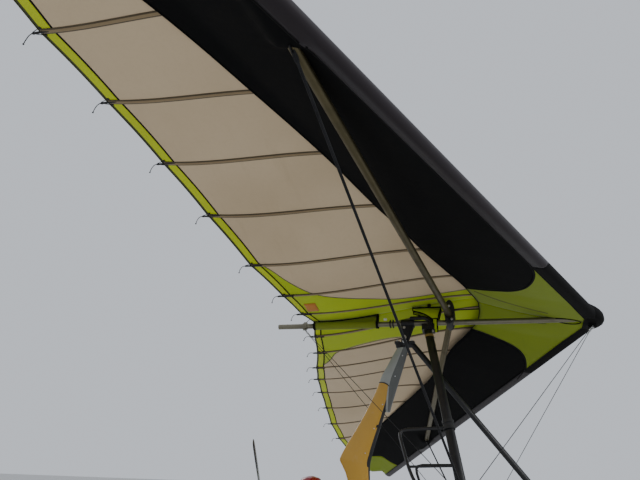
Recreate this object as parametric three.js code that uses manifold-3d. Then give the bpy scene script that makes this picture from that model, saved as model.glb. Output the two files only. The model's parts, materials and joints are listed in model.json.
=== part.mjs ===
// Two-seat weight-shift microlight: a cable-braced flexwing hung on a three-wheeled carriage.
// Millimetres, +Z up. The nose looks along -Y, the port wing along +X. It is drawn from the
// wing's nose (y = 0) and shifted at the end, so that the origin is under the middle of the whole.
import * as THREE from "three";
import { mergeVertices } from "three/addons/utils/BufferGeometryUtils.js";
import Module from "manifold-3d";

const wasm = await Module();
wasm.setup();

const gap = 0.4; // between pieces that touch
const rad = THREE.MathUtils.degToRad;

// Where the drawn nose line lies from the part's origin
const noseY = -1290;

// Wing, in its own frame: nose at the origin, keel along +Y
const wing = {
  height: 2903, roll: rad(12.397), pitch: rad(0.454), // parked attitude, port tip low
  sweep: rad(63.435), droop: 0.0388, frontOut: 15, // leading edges
  rollRadius: 42, camber: 0.61, cloth: 8, joinAt: 0.42, // sail section, shares of the chord
};
const keel = { radius: 24, front: 150, rear: 2847, pocketFront: 1885, pocketRear: 2490 };
const crossbar = {
  radius: 28, y: 1234, z: 43, tipX: 3480, tipY: 1797, tipZ: -148, // it ends inside the sail
  jointWidth: 150, jointZ: 72, jointChord: 92, jointHeight: 236,
};
const frame = { // control frame
  apexY: 1425, apexX: 58, apexZ: -62, barX: 796, barY: 1145, barZ: -1651,
  chord: 70, thick: 28, barRadius: 15, corner: [44, 80, 84],
};
const king = { y: 1420, lean: 20, height: 1180, radius: 17, headRadius: 24, headLength: 40 };
const wire = {
  radius: 2.5, pairRadius: 4, rearY: 2582, noseY: 72, noseZ: -64, cornerX: 816, cornerZ: 50,
  cap: [0, 60, 58], // under the nose cap's skin
  landing: [3060, 1550, -90], // under the sail's skin, over the crossbar
  flying: [3195, 1750, -152], // under the crossbar
};
const tang = [30, 60, 30]; // under the nose, for the front wires
const lug = [12, 34, 84]; // through the keel's rear, for the rear wires

// Carriage
const hang = { y: 1640, z: 2750, pin: 10, cheek: 10, inside: 46, sleeve: 118, ahead: 30 };
const mast = {
  radius: 30, bendY: 2000, bendZ: 1720, headZ: 2708,
  plate: [90, 46, 22], plateOut: 65, plateZ: 2738, webDrop: 15, webHeight: 50, // either side of the hang bolt
};
const beam = { size: 60, z: 450, front: -250, rear: 2640 };
const strut = { radius: 25, topY: 1588, topZ: 2744, footY: -178, footZ: 497 };
const frontWheel = { y: -380, radius: 175, width: 100, rim: 88 };
const rearWheel = { x: 780, y: 2240, radius: 200, width: 110, rim: 100 };
const forkHead = { y: -300, z: 470, rake: rad(16), radius: 24 };
const fork = {
  crownZ: 400, crownSize: [172, 56, 20], legX: 74, legChord: 44, legThick: 16, axle: 9, postX: 50,
};
const rearLeg = { topY: 2180, chord: 84, thick: 34, braceY: 1500, braceRadius: 15, axle: 11 };
const prop = { y: 2855, z: 1150, radius: 850, firstBlade: rad(-32.5), blades: 3 };

const paint = (color, roughness, metalness = 0) =>
  new THREE.MeshStandardMaterial({ color, roughness, metalness });
const finish = {
  cream: paint(0xcfc0a8, 0.85), lime: paint(0xa6c316, 0.7),
  bronze: paint(0x6d6547, 0.4, 0.8), black: paint(0x111214, 0.45), steel: paint(0x8a8c8e, 0.35, 0.9),
  grey: paint(0x8d908c, 0.4), yellow: paint(0xd99a14, 0.35), rubber: paint(0x17171a, 0.9),
  alloy: paint(0xb4b6b8, 0.35, 0.8), red: paint(0x8d1420, 0.3), clear: paint(0xb9c4c8, 0.1),
  cushion: paint(0x23252a, 0.9), tank: paint(0xd8d4c4, 0.6), wireGrey: paint(0x3c3d40, 0.5, 0.6),
};

const v3 = (p) => new THREE.Vector3(...p);

// Solids

function solid(geometry) {
  const bare = geometry.clone();
  for (const name of Object.keys(bare.attributes)) if (name !== "position") bare.deleteAttribute(name);
  const merged = mergeVertices(bare, 1e-4);
  const mesh = new wasm.Mesh({
    numProp: 3,
    vertProperties: new Float32Array(merged.attributes.position.array),
    triVerts: new Uint32Array(merged.index.array),
  });
  return new wasm.Manifold(mesh);
}

function toGeometry(manifold) {
  const mesh = manifold.getMesh();
  const geometry = new THREE.BufferGeometry();
  geometry.setAttribute("position", new THREE.BufferAttribute(new Float32Array(mesh.vertProperties), 3));
  geometry.setIndex(new THREE.BufferAttribute(new Uint32Array(mesh.triVerts), 1));
  return geometry;
}

const largest = (manifold) => manifold.decompose().sort((a, b) => b.volume() - a.volume())[0];
const join = (...parts) => toGeometry(parts.map(solid).reduce((a, b) => a.add(b)));
const cut = (base, ...tools) =>
  toGeometry(largest(tools.map(solid).reduce((a, b) => a.subtract(b), solid(base))));

// A skin through rings of points, closed at both ends
function loft(rings) {
  const count = rings[0].length;
  const points = rings.flat().map(v3);
  const faces = [];
  for (let ring = 0; ring < rings.length - 1; ring++) {
    for (let i = 0; i < count; i++) {
      const [a, b] = [ring * count + i, ring * count + (i + 1) % count];
      const [c, d] = [b + count, a + count];
      faces.push(a, b, c, a, c, d);
    }
  }
  const cap = (start, flip) => {
    const ring = points.slice(start, start + count);
    const normal = new THREE.Vector3();
    ring.forEach((p, i) => normal.add(new THREE.Vector3().crossVectors(p, ring[(i + 1) % count])));
    const turn = new THREE.Quaternion().setFromUnitVectors(normal.normalize(), new THREE.Vector3(0, 0, 1));
    const flat = ring.map((p) => p.clone().applyQuaternion(turn)).map((p) => new THREE.Vector2(p.x, p.y));
    for (const [a, b, c] of THREE.ShapeUtils.triangulateShape(flat, [])) {
      if (flip) faces.push(start + a, start + c, start + b);
      else faces.push(start + a, start + b, start + c);
    }
  };
  cap(0, true);
  cap((rings.length - 1) * count, false);
  const geometry = new THREE.BufferGeometry().setFromPoints(points);
  geometry.setIndex(faces);
  return outward(geometry);
}

// Turns a closed shape's faces round if they point inward
function outward(geometry) {
  const at = geometry.attributes.position;
  const index = geometry.index.array;
  const [a, b, c] = [new THREE.Vector3(), new THREE.Vector3(), new THREE.Vector3()];
  let volume = 0;
  for (let i = 0; i < index.length; i += 3) {
    a.fromBufferAttribute(at, index[i]);
    b.fromBufferAttribute(at, index[i + 1]);
    c.fromBufferAttribute(at, index[i + 2]);
    volume += a.dot(b.cross(c));
  }
  for (let i = 0; volume < 0 && i < index.length; i += 3) [index[i], index[i + 1]] = [index[i + 1], index[i]];
  return geometry;
}

function box(size, centre, grow = 0) {
  return new THREE.BoxGeometry(...size.map((length) => length + 2 * grow)).translate(...centre);
}

// A round bar between two points
function rod(from, to, radius, sides = 14, endRadius = radius) {
  const [a, b] = [v3(from), v3(to)];
  const along = b.clone().sub(a);
  const geometry = new THREE.CylinderGeometry(endRadius, radius, along.length(), sides);
  const turn = new THREE.Quaternion().setFromUnitVectors(new THREE.Vector3(0, 1, 0), along.normalize());
  return geometry.applyQuaternion(turn).translate(...a.add(b).multiplyScalar(0.5).toArray());
}

// The same bar grown all round by an amount, which cuts its own bore
function grownRod(from, to, radius, sides, grow) {
  const along = v3(to).sub(v3(from)).setLength(grow);
  return rod(v3(from).sub(along).toArray(), v3(to).add(along).toArray(), radius + grow, sides);
}

// A bar of streamlined section between two points, its chord fore and aft
function foilBar(from, to, chord, thick, sides = 16) {
  const [a, b] = [v3(from), v3(to)];
  const along = b.clone().sub(a).normalize();
  const fore = new THREE.Vector3(0, 1, 0).addScaledVector(along, -along.y).normalize();
  const across = new THREE.Vector3().crossVectors(along, fore);
  const ring = (p) => Array.from({ length: sides }, (_, i) => {
    const angle = (2 * Math.PI * i) / sides;
    const taper = 1 - 0.3 * Math.sin(angle); // fuller in front than behind
    return p.clone().addScaledVector(fore, (chord / 2) * Math.sin(angle))
      .addScaledVector(across, (thick / 2) * Math.cos(angle) * taper).toArray();
  });
  return loft([ring(a), ring(b)]);
}

// A round tube along points with its corners rounded off
function bentTube(points, radius, corner, sides = 10, bendSteps = 5) {
  let last = v3(points[0]);
  const stops = [last.clone()];
  for (let i = 1; i < points.length - 1; i++) {
    const here = v3(points[i]);
    const before = last.clone().sub(here);
    const after = v3(points[i + 1]).sub(here);
    const reach = Math.min(corner, before.length() * 0.45, after.length() * 0.45);
    const into = here.clone().addScaledVector(before.normalize(), reach);
    const out = here.clone().addScaledVector(after.normalize(), reach);
    const bend = new THREE.QuadraticBezierCurve3(into, here, out);
    for (let k = 0; k <= bendSteps; k++) stops.push(bend.getPoint(k / bendSteps));
    last = here;
  }
  stops.push(v3(points.at(-1)));
  return sweepRing(stops, radius, sides);
}

// Rings of a circle carried along stops without twist
function sweepRing(stops, radius, sides) {
  const rings = [];
  let side = null;
  stops.forEach((p, i) => {
    const [before, after] = [stops[Math.max(i - 1, 0)], stops[Math.min(i + 1, stops.length - 1)]];
    const ahead = after.clone().sub(before).normalize();
    if (!side) side = Math.abs(ahead.x) < 0.9 ? new THREE.Vector3(1, 0, 0) : new THREE.Vector3(0, 0, 1);
    side = side.clone().addScaledVector(ahead, -side.dot(ahead)).normalize();
    const up = new THREE.Vector3().crossVectors(ahead, side);
    rings.push(Array.from({ length: sides }, (_, k) => {
      const angle = (2 * Math.PI * k) / sides;
      const out = side.clone().multiplyScalar(radius * Math.cos(angle));
      return out.addScaledVector(up, radius * Math.sin(angle)).add(p).toArray();
    }));
  });
  return loft(rings);
}

// A ring turned from a closed outline of [radius, offset], its axis along X
function turned(outline, centre, segments = 36) {
  const profile = [...outline, outline[0]].map(([r, x]) => new THREE.Vector2(r, x));
  return new THREE.LatheGeometry(profile, segments).rotateZ(-Math.PI / 2).translate(...centre);
}

// Groups: everything hangs from the root; the wing hangs in its parked attitude

const root = new THREE.Group();
root.position.y = noseY;
const wingPitch = new THREE.Group();
wingPitch.position.z = wing.height;
wingPitch.rotation.x = wing.pitch;
const wingRoll = new THREE.Group();
wingRoll.rotation.y = wing.roll;
root.add(wingPitch);
wingPitch.add(wingRoll);

function piece(group, name, material, geometry) {
  const mesh = new THREE.Mesh(geometry, material);
  mesh.name = name;
  group.add(mesh);
}

const sides = [["port", 1], ["starboard", -1]];

// Sail

// Stations out along the wing: x, trailing edge y, trailing edge z
const stations = [
  [0, 2500, 44], [240, 2555, 10], [610, 2620, 0], [1080, 2755, 30], [1660, 2900, 120],
  [2220, 3000, 160], [2800, 3075, 150], [3350, 3130, 100], [3830, 3115, 30],
  [4400, 3045, -50], [4850, 2940, -120], [5000, 2840, -160],
];
const frontEdgeY = (x) => x / Math.tan(wing.sweep) - wing.frontOut;
const frontEdgeZ = (x) => -wing.droop * x;

// Shares of the chord where the section has points: ahead of the lower cloth's seam, and behind it
const frontShares = [0.1, 0.2, 0.32];
const rearShares = [wing.joinAt, 0.55, 0.7, 0.86, 1];

// Upper surface height at a share of the chord
function sailTop(station, share) {
  const [x, rearY, rearZ] = station;
  const chord = rearY - frontEdgeY(x);
  return THREE.MathUtils.lerp(frontEdgeZ(x), rearZ, share) + wing.camber * share * (1 - share) ** 2 * chord;
}

function sailRing(station, side) {
  const [x, rearY] = station;
  const frontY = frontEdgeY(x);
  const chord = rearY - frontY;
  const r = Math.min(wing.rollRadius, chord * 0.16);
  const at = (share) => frontY + share * chord;
  const across = side * Math.max(x, gap);
  const ring = [];
  for (let k = 0; k <= 6; k++) { // round the leading edge, from below to above
    const angle = -Math.PI / 2 - (k / 6) * Math.PI;
    ring.push([across, frontY + r + r * Math.cos(angle), frontEdgeZ(x) + r * Math.sin(angle)]);
  }
  for (const share of [...frontShares, ...rearShares]) {
    ring.push([across, Math.max(at(share), frontY + 1.3 * r + 40 * share), sailTop(station, share)]);
  }
  for (const share of [...rearShares].reverse()) {
    ring.push([across, at(share), sailTop(station, share) - wing.cloth]);
  }
  return ring;
}

// Nose cap stations: y, half width, bottom, top
const capStations = [
  [-26, 20, -20, 24], [-14, 66, -38, 38], [14, 112, -48, 56],
  [50, 152, -52, 70], [95, 176, -52, 90], [140, 186, -46, 108],
];
function noseCap(grow = 0) {
  const last = capStations.length - 1;
  return loft(capStations.map(([y, halfWidth, bottom, top], row) => Array.from({ length: 20 }, (_, i) => {
    const angle = (2 * Math.PI * i) / 20;
    const square = (t) => Math.sign(t) * Math.sqrt(Math.abs(t));
    const [middle, half] = [(top + bottom) / 2, (top - bottom) / 2];
    const along = y + (row === last ? grow : 0) - (row === 0 ? grow : 0);
    return [(halfWidth + grow) * square(Math.cos(angle)), along, middle + (half + grow) * Math.sin(angle)];
  })));
}

const keelTube = (grow = 0) => grownRod([0, keel.front, 0], [0, keel.rear, 0], keel.radius, 20, grow);

function crossbarTube(side, grow = 0) {
  const from = [side * 64, crossbar.y, crossbar.z];
  const to = [side * crossbar.tipX, crossbar.tipY, crossbar.tipZ];
  return grownRod(from, to, crossbar.radius, 18, grow);
}

const kingHead = [0, king.y - king.lean, king.height];
const kingTube = (grow = 0) =>
  grownRod([0, king.y, keel.radius + gap], kingHead, king.radius, 14, grow);

const sails = {};
for (const [name, side] of sides) {
  const blank = loft(stations.map((station) => sailRing(station, side)));
  sails[name] = cut(blank, noseCap(gap), keelTube(gap), crossbarTube(side, 1), kingTube(6));
  piece(wingRoll, `sail_${name}`, finish.cream, sails[name]);
}
const noseTang = (grow = 0) => box(tang, [0, wire.noseY, wire.noseZ], grow);
const rearLug = (grow = 0) => box(lug, [0, wire.rearY, 0], grow);
{
  const clamp = rod([0, wire.rearY - 22, 0], [0, wire.rearY + 22, 0], keel.radius + 7, 20);
  piece(wingRoll, "nose_cap", finish.black, join(noseCap(), noseTang()));
  piece(wingRoll, "keel_tube", finish.bronze, join(keelTube(), clamp, rearLug()));
}

// Keel pocket: a sleeve of cloth hanging from the sail round the rear of the keel
{
  const shape = new THREE.Shape();
  const r = keel.radius + 12;
  shape.moveTo(-6, 130);
  shape.lineTo(-10, r);
  shape.absarc(0, 0, r, rad(110), rad(430), false);
  shape.lineTo(10, r);
  shape.lineTo(6, 130);
  const length = keel.pocketRear - keel.pocketFront;
  const sleeve = new THREE.ExtrudeGeometry(shape, { depth: length, bevelEnabled: false, curveSegments: 14 })
    .rotateX(Math.PI / 2).translate(0, keel.pocketRear, 0);
  // Cut to the cloth above it; the sail halves are pushed together, so that no fin stands between them
  const above = sides.map(([name, side]) => sails[name].clone().translate(-2 * side * gap, 0, -2 * gap));
  piece(wingRoll, "keel_pocket", finish.lime, cut(sleeve, keelTube(gap), ...above));
}

// Crossbars and their joint on the keel
for (const [name, side] of sides) piece(wingRoll, `crossbar_${name}`, finish.bronze, crossbarTube(side));
{
  const oval = new THREE.Shape().absellipse(
    crossbar.y, crossbar.jointZ, crossbar.jointChord / 2, crossbar.jointHeight / 2, 0, 2 * Math.PI);
  const body = extruded(oval, crossbar.jointWidth);
  const bores = sides.map(([, side]) => crossbarTube(side, gap));
  piece(wingRoll, "crossbar_joint", finish.black, cut(body, keelTube(gap), ...bores));
}

// Control frame
const cornerBlock = (side, grow = 0) =>
  box(frame.corner, [side * (frame.barX + 14), frame.barY, frame.barZ + 18], grow);
const uprightTop = (side) => [side * frame.apexX, frame.apexY, frame.apexZ - 26];
const uprightFoot = (side) => [side * frame.barX, frame.barY, frame.barZ + 24];
function upright(side, grow = 0) {
  const reach = v3(uprightFoot(side)).sub(v3(uprightTop(side))).setLength(Math.max(grow, 1e-6));
  const top = v3(uprightTop(side)).sub(reach).toArray();
  const foot = v3(uprightFoot(side)).add(reach).toArray();
  return foilBar(top, foot, frame.chord + 2 * grow, frame.thick + 2 * grow);
}
{
  const body = join(
    box([96, 110, 56], [0, frame.apexY, -54]),
    box([150, 64, 64], [0, frame.apexY, -88]));
  const bores = sides.map(([, side]) => upright(side, gap));
  piece(wingRoll, "apex_bracket", finish.black, cut(body, keelTube(gap), ...bores));
}
for (const [name, side] of sides) {
  piece(wingRoll, `upright_${name}`, finish.black, cut(upright(side), cornerBlock(side, gap)));
}
piece(wingRoll, "base_bar", finish.black, join(
  rod([-frame.barX, frame.barY, frame.barZ], [frame.barX, frame.barY, frame.barZ], frame.barRadius, 16),
  cornerBlock(1), cornerBlock(-1)));

// Training bars: a loop behind each upright for the rear seat, with a link across it
for (const [name, side] of sides) {
  const at = (x, y, z) => [side * x, y, z];
  const loop = bentTube([
    at(536, 1242, -1093), at(514, 1609, -1111), at(650, 1519, -1395), at(716, 1455, -1535),
    at(797, 1186, -1660),
  ], 12, 70, 8, 3);
  const link = rod(at(650, 1510, -1398), at(672, 1216, -1388), 9, 8);
  const body = join(loop, link);
  piece(wingRoll, `training_bar_${name}`, finish.black,
    cut(body, upright(side, gap), cornerBlock(side, gap)));
}

// King post with its foot and head
const headFitting = (grow = 0) => grownRod(
  [0, kingHead[1], king.height + 16 - king.headLength], [0, kingHead[1], king.height + 16],
  king.headRadius, 14, grow);
{
  const foot = rod([0, king.y, keel.radius + gap], [0, king.y, keel.radius + 30], king.headRadius + 2, 14);
  piece(wingRoll, "king_post", finish.black, join(kingTube(), foot, headFitting()));
}

// Rigging: straight wires between the fittings
function stay(name, from, to, radius, ...fittings) {
  piece(wingRoll, name, finish.wireGrey, cut(rod(from, to, radius, 8), ...fittings));
}
stay("top_wire_front", kingHead, wire.cap, wire.radius, headFitting(gap), noseCap(gap));
stay("top_wire_rear", kingHead, [0, wire.rearY, lug[2] / 2 - 6], wire.radius,
  headFitting(gap), rearLug(gap), sails.port, sails.starboard);
for (const [name, side] of sides) {
  const corner = (y) => [side * wire.cornerX, frame.barY + y, frame.barZ + wire.cornerZ];
  const lifted = sails[name].clone().translate(0, 0, 3 * gap);
  const [landX, landY, landZ] = wire.landing;
  stay(`landing_wire_${name}`, kingHead, [side * landX, landY, landZ], wire.radius,
    headFitting(gap), sails[name], lifted);
  stay(`nose_wire_${name}`, [side * 8, wire.noseY, wire.noseZ], corner(-20), wire.radius,
    noseTang(gap), cornerBlock(side, gap));
  stay(`tail_wire_${name}`, [side * 3, wire.rearY, 6 - lug[2] / 2], corner(20), wire.radius,
    rearLug(gap), cornerBlock(side, gap));
  // a pair of cables side by side, drawn as one
  const [flyX, flyY, flyZ] = wire.flying;
  stay(`flying_wire_${name}`, [side * flyX, flyY, flyZ], corner(0), wire.pairRadius,
    crossbarTube(side, gap), cornerBlock(side, gap), upright(side, gap), sails[name]);
}

// Hang block: swivels round the keel for roll, and turns on the mast head for pitch.
// It is drawn in the keel's own slope, so it turns with the wing's pitch group.
{
  const sideways = new THREE.Vector3(1, 0, 0);
  const { y, z } = new THREE.Vector3(0, hang.y, hang.z - wing.height).applyAxisAngle(sideways, -wing.pitch);
  const outer = keel.radius + 15;
  const [middle, half] = [y - hang.ahead, hang.sleeve / 2];
  const sleeve = rod([0, middle - half, 0], [0, middle + half, 0], outer, 24);
  const flank = new THREE.Shape([
    [y - 28, z], [y + 28, z], [middle + half - 9, 8 - outer], [middle + 9 - half, 8 - outer],
  ].map(([along, up]) => new THREE.Vector2(along, up)));
  const cheeks = [1, -1].map((side) =>
    extruded(flank, hang.cheek).translate(side * (hang.inside + hang.cheek) / 2, 0, 0));
  const eyes = [1, -1].map((side) => rod([side * hang.inside / 2, y, z],
    [side * (hang.inside / 2 + hang.cheek), y, z], 30, 24));
  const bridge = box([hang.inside + 2 * hang.cheek, 56, 22], [0, y, -outer - 2]);
  const pin = rod([-hang.inside / 2 - 22, y, z], [hang.inside / 2 + 22, y, z], hang.pin, 16);
  piece(wingPitch, "hang_block", finish.black,
    cut(join(sleeve, ...cheeks, ...eyes, bridge, pin), keelTube(1.5)));
}

// Mast, with its head and foot
const beamTop = beam.z + beam.size / 2 + gap;
function headPlate(grow = 0) {
  const ears = [1, -1].map((end) => box(mast.plate, [0, hang.y + end * mast.plateOut, mast.plateZ], grow));
  const length = 2 * mast.plateOut + 30;
  const web = box([hang.inside - 6, length, mast.webHeight], [0, hang.y, mast.plateZ - mast.webDrop], grow);
  return join(...ears, web);
}
const mastLine = [
  [0, mast.bendY, beamTop], [0, mast.bendY, mast.bendZ - 60],
  [0, mast.bendY - 22, mast.bendZ + 62], [0, hang.y + 22, mast.headZ],
];
const mastTube = (grow = 0) => bentTube(mastLine, mast.radius + grow, 120, 16, 3);
{
  const half = hang.inside / 2 - 3;
  const tongue = box([2 * half, 56, 60], [0, hang.y, hang.z - 12]);
  const crown = rod([-half, hang.y, hang.z], [half, hang.y, hang.z], 28, 20);
  const foot = box([110, 130, 10], [0, mast.bendY, beamTop + 5]);
  const bore = rod([-60, hang.y, hang.z], [60, hang.y, hang.z], hang.pin + 0.8, 16);
  piece(root, "mast", finish.black, cut(join(mastTube(), tongue, crown, headPlate(), foot), bore));
}

// Fairings behind the mast. Levels: z, front y, rear y, half width
function fairing(levels, count = 16) {
  return loft(levels.map(([z, front, rear, half]) => {
    const ring = [];
    for (let i = 0; i < count; i++) {
      const angle = (2 * Math.PI * i) / count;
      const along = (1 - Math.cos(angle)) / 2;
      const width = half * Math.sin(angle) * (1.25 - 0.75 * along);
      ring.push([width, THREE.MathUtils.lerp(front, rear, along), z]);
    }
    return ring;
  }));
}
const yellowLevels = [
  [1250, 1962, 2150, 38], [1600, 1962, 2158, 40], [1690, 1962, 2198, 42], [1758, 1950, 2224, 42],
  [2073, 1850, 2034, 40], [2300, 1776, 1915, 38], [2392, 1800, 1866, 26],
];
const greyLevels = [
  [2140, 1785, 1826, 30], [2210, 1763, 1842, 36], [2390, 1703, 1874, 40],
  [2560, 1647, 1790, 41], [2697, 1606, 1710, 42],
];
const yellowRoom = yellowLevels.map(([z, front, rear, half], i) =>
  [z + (i ? gap : -gap), front - gap, rear + gap, half + gap]);
piece(root, "mast_fairing_lower", finish.yellow, cut(fairing(yellowLevels), mastTube(gap)));
piece(root, "mast_fairing_upper", finish.grey,
  cut(fairing(greyLevels), mastTube(gap), fairing(yellowRoom)));

// Front strut and chassis beam
const strutTube = (grow = 0) =>
  grownRod([0, strut.topY, strut.topZ], [0, strut.footY, strut.footZ], strut.radius, 16, grow);
{
  const foot = box([60, 90, 16], [0, strut.footY, beamTop + 8]);
  const above = box([90, 200, 120], [0, hang.y, mast.plateZ - mast.plate[2] / 2 - gap + 60]);
  piece(root, "front_strut", finish.black, cut(join(strutTube(), foot), headPlate(gap), above,
    box([200, 200, 60], [0, strut.footY, beamTop - 30])));
}
const tilt = (geometry) => geometry.rotateX(-forkHead.rake).translate(0, forkHead.y, forkHead.z);
{
  const length = beam.rear - beam.front;
  const blank = box([beam.size, length, beam.size], [0, beam.front + length / 2, beam.z]);
  const tube = tilt(rod([0, 0, -44], [0, 0, 74], forkHead.radius + 12, 20));
  const bore = tilt(rod([0, 0, -60], [0, 0, 90], forkHead.radius + 1, 20));
  const nose = box([70, 60, 60], [0, beam.front - 10, beam.z + 16]);
  piece(root, "chassis_beam", finish.alloy, cut(join(blank, tube, nose), bore,
    strutTube(gap), box([70, 100, 30], [0, strut.footY, beam.z + beam.size / 2 + 15])));
}

// A shape drawn in Y and Z, as wide as given along X
function extruded(shape, width) {
  return new THREE.ExtrudeGeometry(shape, { depth: width, bevelEnabled: false, curveSegments: 16 })
    .rotateX(Math.PI / 2).rotateZ(Math.PI / 2).translate(-width / 2, 0, 0);
}

// Steered fork with its axle, and the mudguard that it carries on two posts
const axleZ = frontWheel.radius;
const guard = { outside: frontWheel.radius + 24, thick: 5, width: frontWheel.width + 24, from: 20, to: 165 };
function mudguard(grow = 0) {
  const arc = new THREE.Shape();
  arc.absarc(0, 0, guard.outside + grow, rad(guard.from), rad(guard.to), false);
  arc.absarc(0, 0, guard.outside - guard.thick - grow, rad(guard.to), rad(guard.from), true);
  return extruded(arc, guard.width + 2 * grow).translate(0, frontWheel.y, axleZ);
}
{
  const stem = tilt(rod([0, 0, -74], [0, 0, 92], forkHead.radius - 2, 18));
  const crownY = forkHead.y - Math.tan(forkHead.rake) * (forkHead.z - fork.crownZ) - 2;
  const crown = box(fork.crownSize, [0, crownY, fork.crownZ]);
  const legs = [1, -1].map((side) => foilBar([side * fork.legX, crownY, fork.crownZ + 8],
    [side * fork.legX, frontWheel.y, axleZ - 18], fork.legChord, fork.legThick, 12));
  const posts = [1, -1].map((side) => box([14, 14, 40], [side * fork.postX, crownY, fork.crownZ - 20]));
  const reach = fork.legX + 10;
  const axle = rod([-reach, frontWheel.y, axleZ], [reach, frontWheel.y, axleZ], fork.axle, 14);
  const cap = tilt(rod([0, 0, 76], [0, 0, 92], forkHead.radius + 8, 18));
  piece(root, "fork", finish.black, cut(join(stem, crown, ...legs, ...posts, axle, cap), mudguard(gap)));
  piece(root, "front_mudguard", finish.yellow, mudguard());
}

// Wheels: a tyre and a rim each
function wheel(name, x, y, spec, axle) {
  const half = spec.width / 2;
  const [r, rim] = [spec.radius, spec.rim];
  const tyre = [
    [rim, -half * 0.7], [(r + rim) / 2, -half], [r - 16, -half * 0.86], [r - 4, -half * 0.5],
    [r, 0], [r - 4, half * 0.5], [r - 16, half * 0.86], [(r + rim) / 2, half], [rim, half * 0.7],
  ];
  const disc = [
    [axle + 1, -half * 0.8], [axle + 16, -half * 0.8], [axle + 18, -half * 0.2], [rim - 20, -half * 0.2],
    [rim - 14, -half * 0.7], [rim - gap, -half * 0.7], [rim - gap, half * 0.7], [rim - 14, half * 0.7],
    [rim - 20, half * 0.2], [axle + 18, half * 0.2], [axle + 16, half * 0.8], [axle + 1, half * 0.8],
  ];
  piece(root, `${name}_tyre`, finish.rubber, turned(tyre, [x, y, r], 30));
  piece(root, `${name}_rim`, finish.alloy, turned(disc, [x, y, r], 30));
}
wheel("front_wheel", 0, frontWheel.y, frontWheel, fork.axle);
for (const [name, side] of sides) {
  wheel(`${name}_wheel`, side * rearWheel.x, rearWheel.y, rearWheel, rearLeg.axle);
}

// Rear legs: a main leg down to the stub axle, and a drag brace forward to the beam
for (const [name, side] of sides) {
  const inner = beam.size / 2 + gap;
  const hubX = rearWheel.x - rearWheel.width * 0.4 - 14;
  const hub = [side * hubX, rearWheel.y, rearWheel.radius];
  const leg = foilBar([side * (inner - 20), rearLeg.topY, beam.z - 4], hub, rearLeg.chord, rearLeg.thick);
  const brace = rod([side * (inner - 20), rearLeg.braceY, beam.z - 8],
    [side * (hubX - 60), rearWheel.y - 30, rearWheel.radius + 24], rearLeg.braceRadius, 12);
  const block = box([30, 70, 70], [side * (hubX - 6), rearWheel.y, rearWheel.radius]);
  const axle = rod([side * (hubX - 10), rearWheel.y, rearWheel.radius],
    [side * (rearWheel.x + rearWheel.width / 2), rearWheel.y, rearWheel.radius], rearLeg.axle, 16);
  const plate = box([12, 140, 50], [side * (inner + 6), rearLeg.topY, beam.z]);
  const pad = box([12, 80, 44], [side * (inner + 6), rearLeg.braceY + 8, beam.z - 4]);
  const beamRoom = box([beam.size, 3200, beam.size], [0, 1200, beam.z], gap);
  piece(root, `gear_leg_${name}`, finish.black, cut(join(leg, brace, block, axle, plate, pad), beamRoom));
}

// Seats on one frame, the rear one higher; profiles as [y, z]
const lSolid = (profile, width) =>
  extruded(new THREE.Shape(profile.map(([y, z]) => new THREE.Vector2(y, z))), width);
const seats = [ // name, pan front y, pan rear y, pan z, back top y, back top z
  ["front", 1120, 1500, 556, 1590, 900], ["rear", 1590, 1905, 690, 1950, 1160],
];
{
  const bits = [];
  for (const [, y0, y1, z, backY, backZ] of seats) {
    const tray = [[y0, z - 8], [y1 + 8, z - 8], [backY + 8, backZ], [backY, backZ], [y1, z], [y0, z]];
    bits.push(lSolid(tray, 360));
    const post = z - 4 - beamTop;
    for (const y of [y0 + 16, y1 - 16]) bits.push(box([44, 30, post], [0, y, beamTop + post / 2]));
  }
  bits.push(box([44, 860, 10], [0, 1500, beamTop + 5]));
  piece(root, "seat_frame", finish.black, join(...bits));
}
for (const [name, y0, y1, z, backY, backZ] of seats) {
  const lift = gap + 0.2;
  const [pan, back] = [64, 52];
  piece(root, `seat_${name}`, finish.cushion, lSolid([
    [y0, z + lift], [y1 - lift, z + lift], [backY - lift, backZ], [backY - lift - back, backZ - 6],
    [y1 - back - 4, z + pan + 12], [y0 + 14, z + pan],
  ], 380));
}

// Fuel tank under the rear seat, between its legs
piece(root, "fuel_tank", finish.tank, box([480, 236, 180], [0, 1747, beamTop + 10 + gap + 90]));

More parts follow.
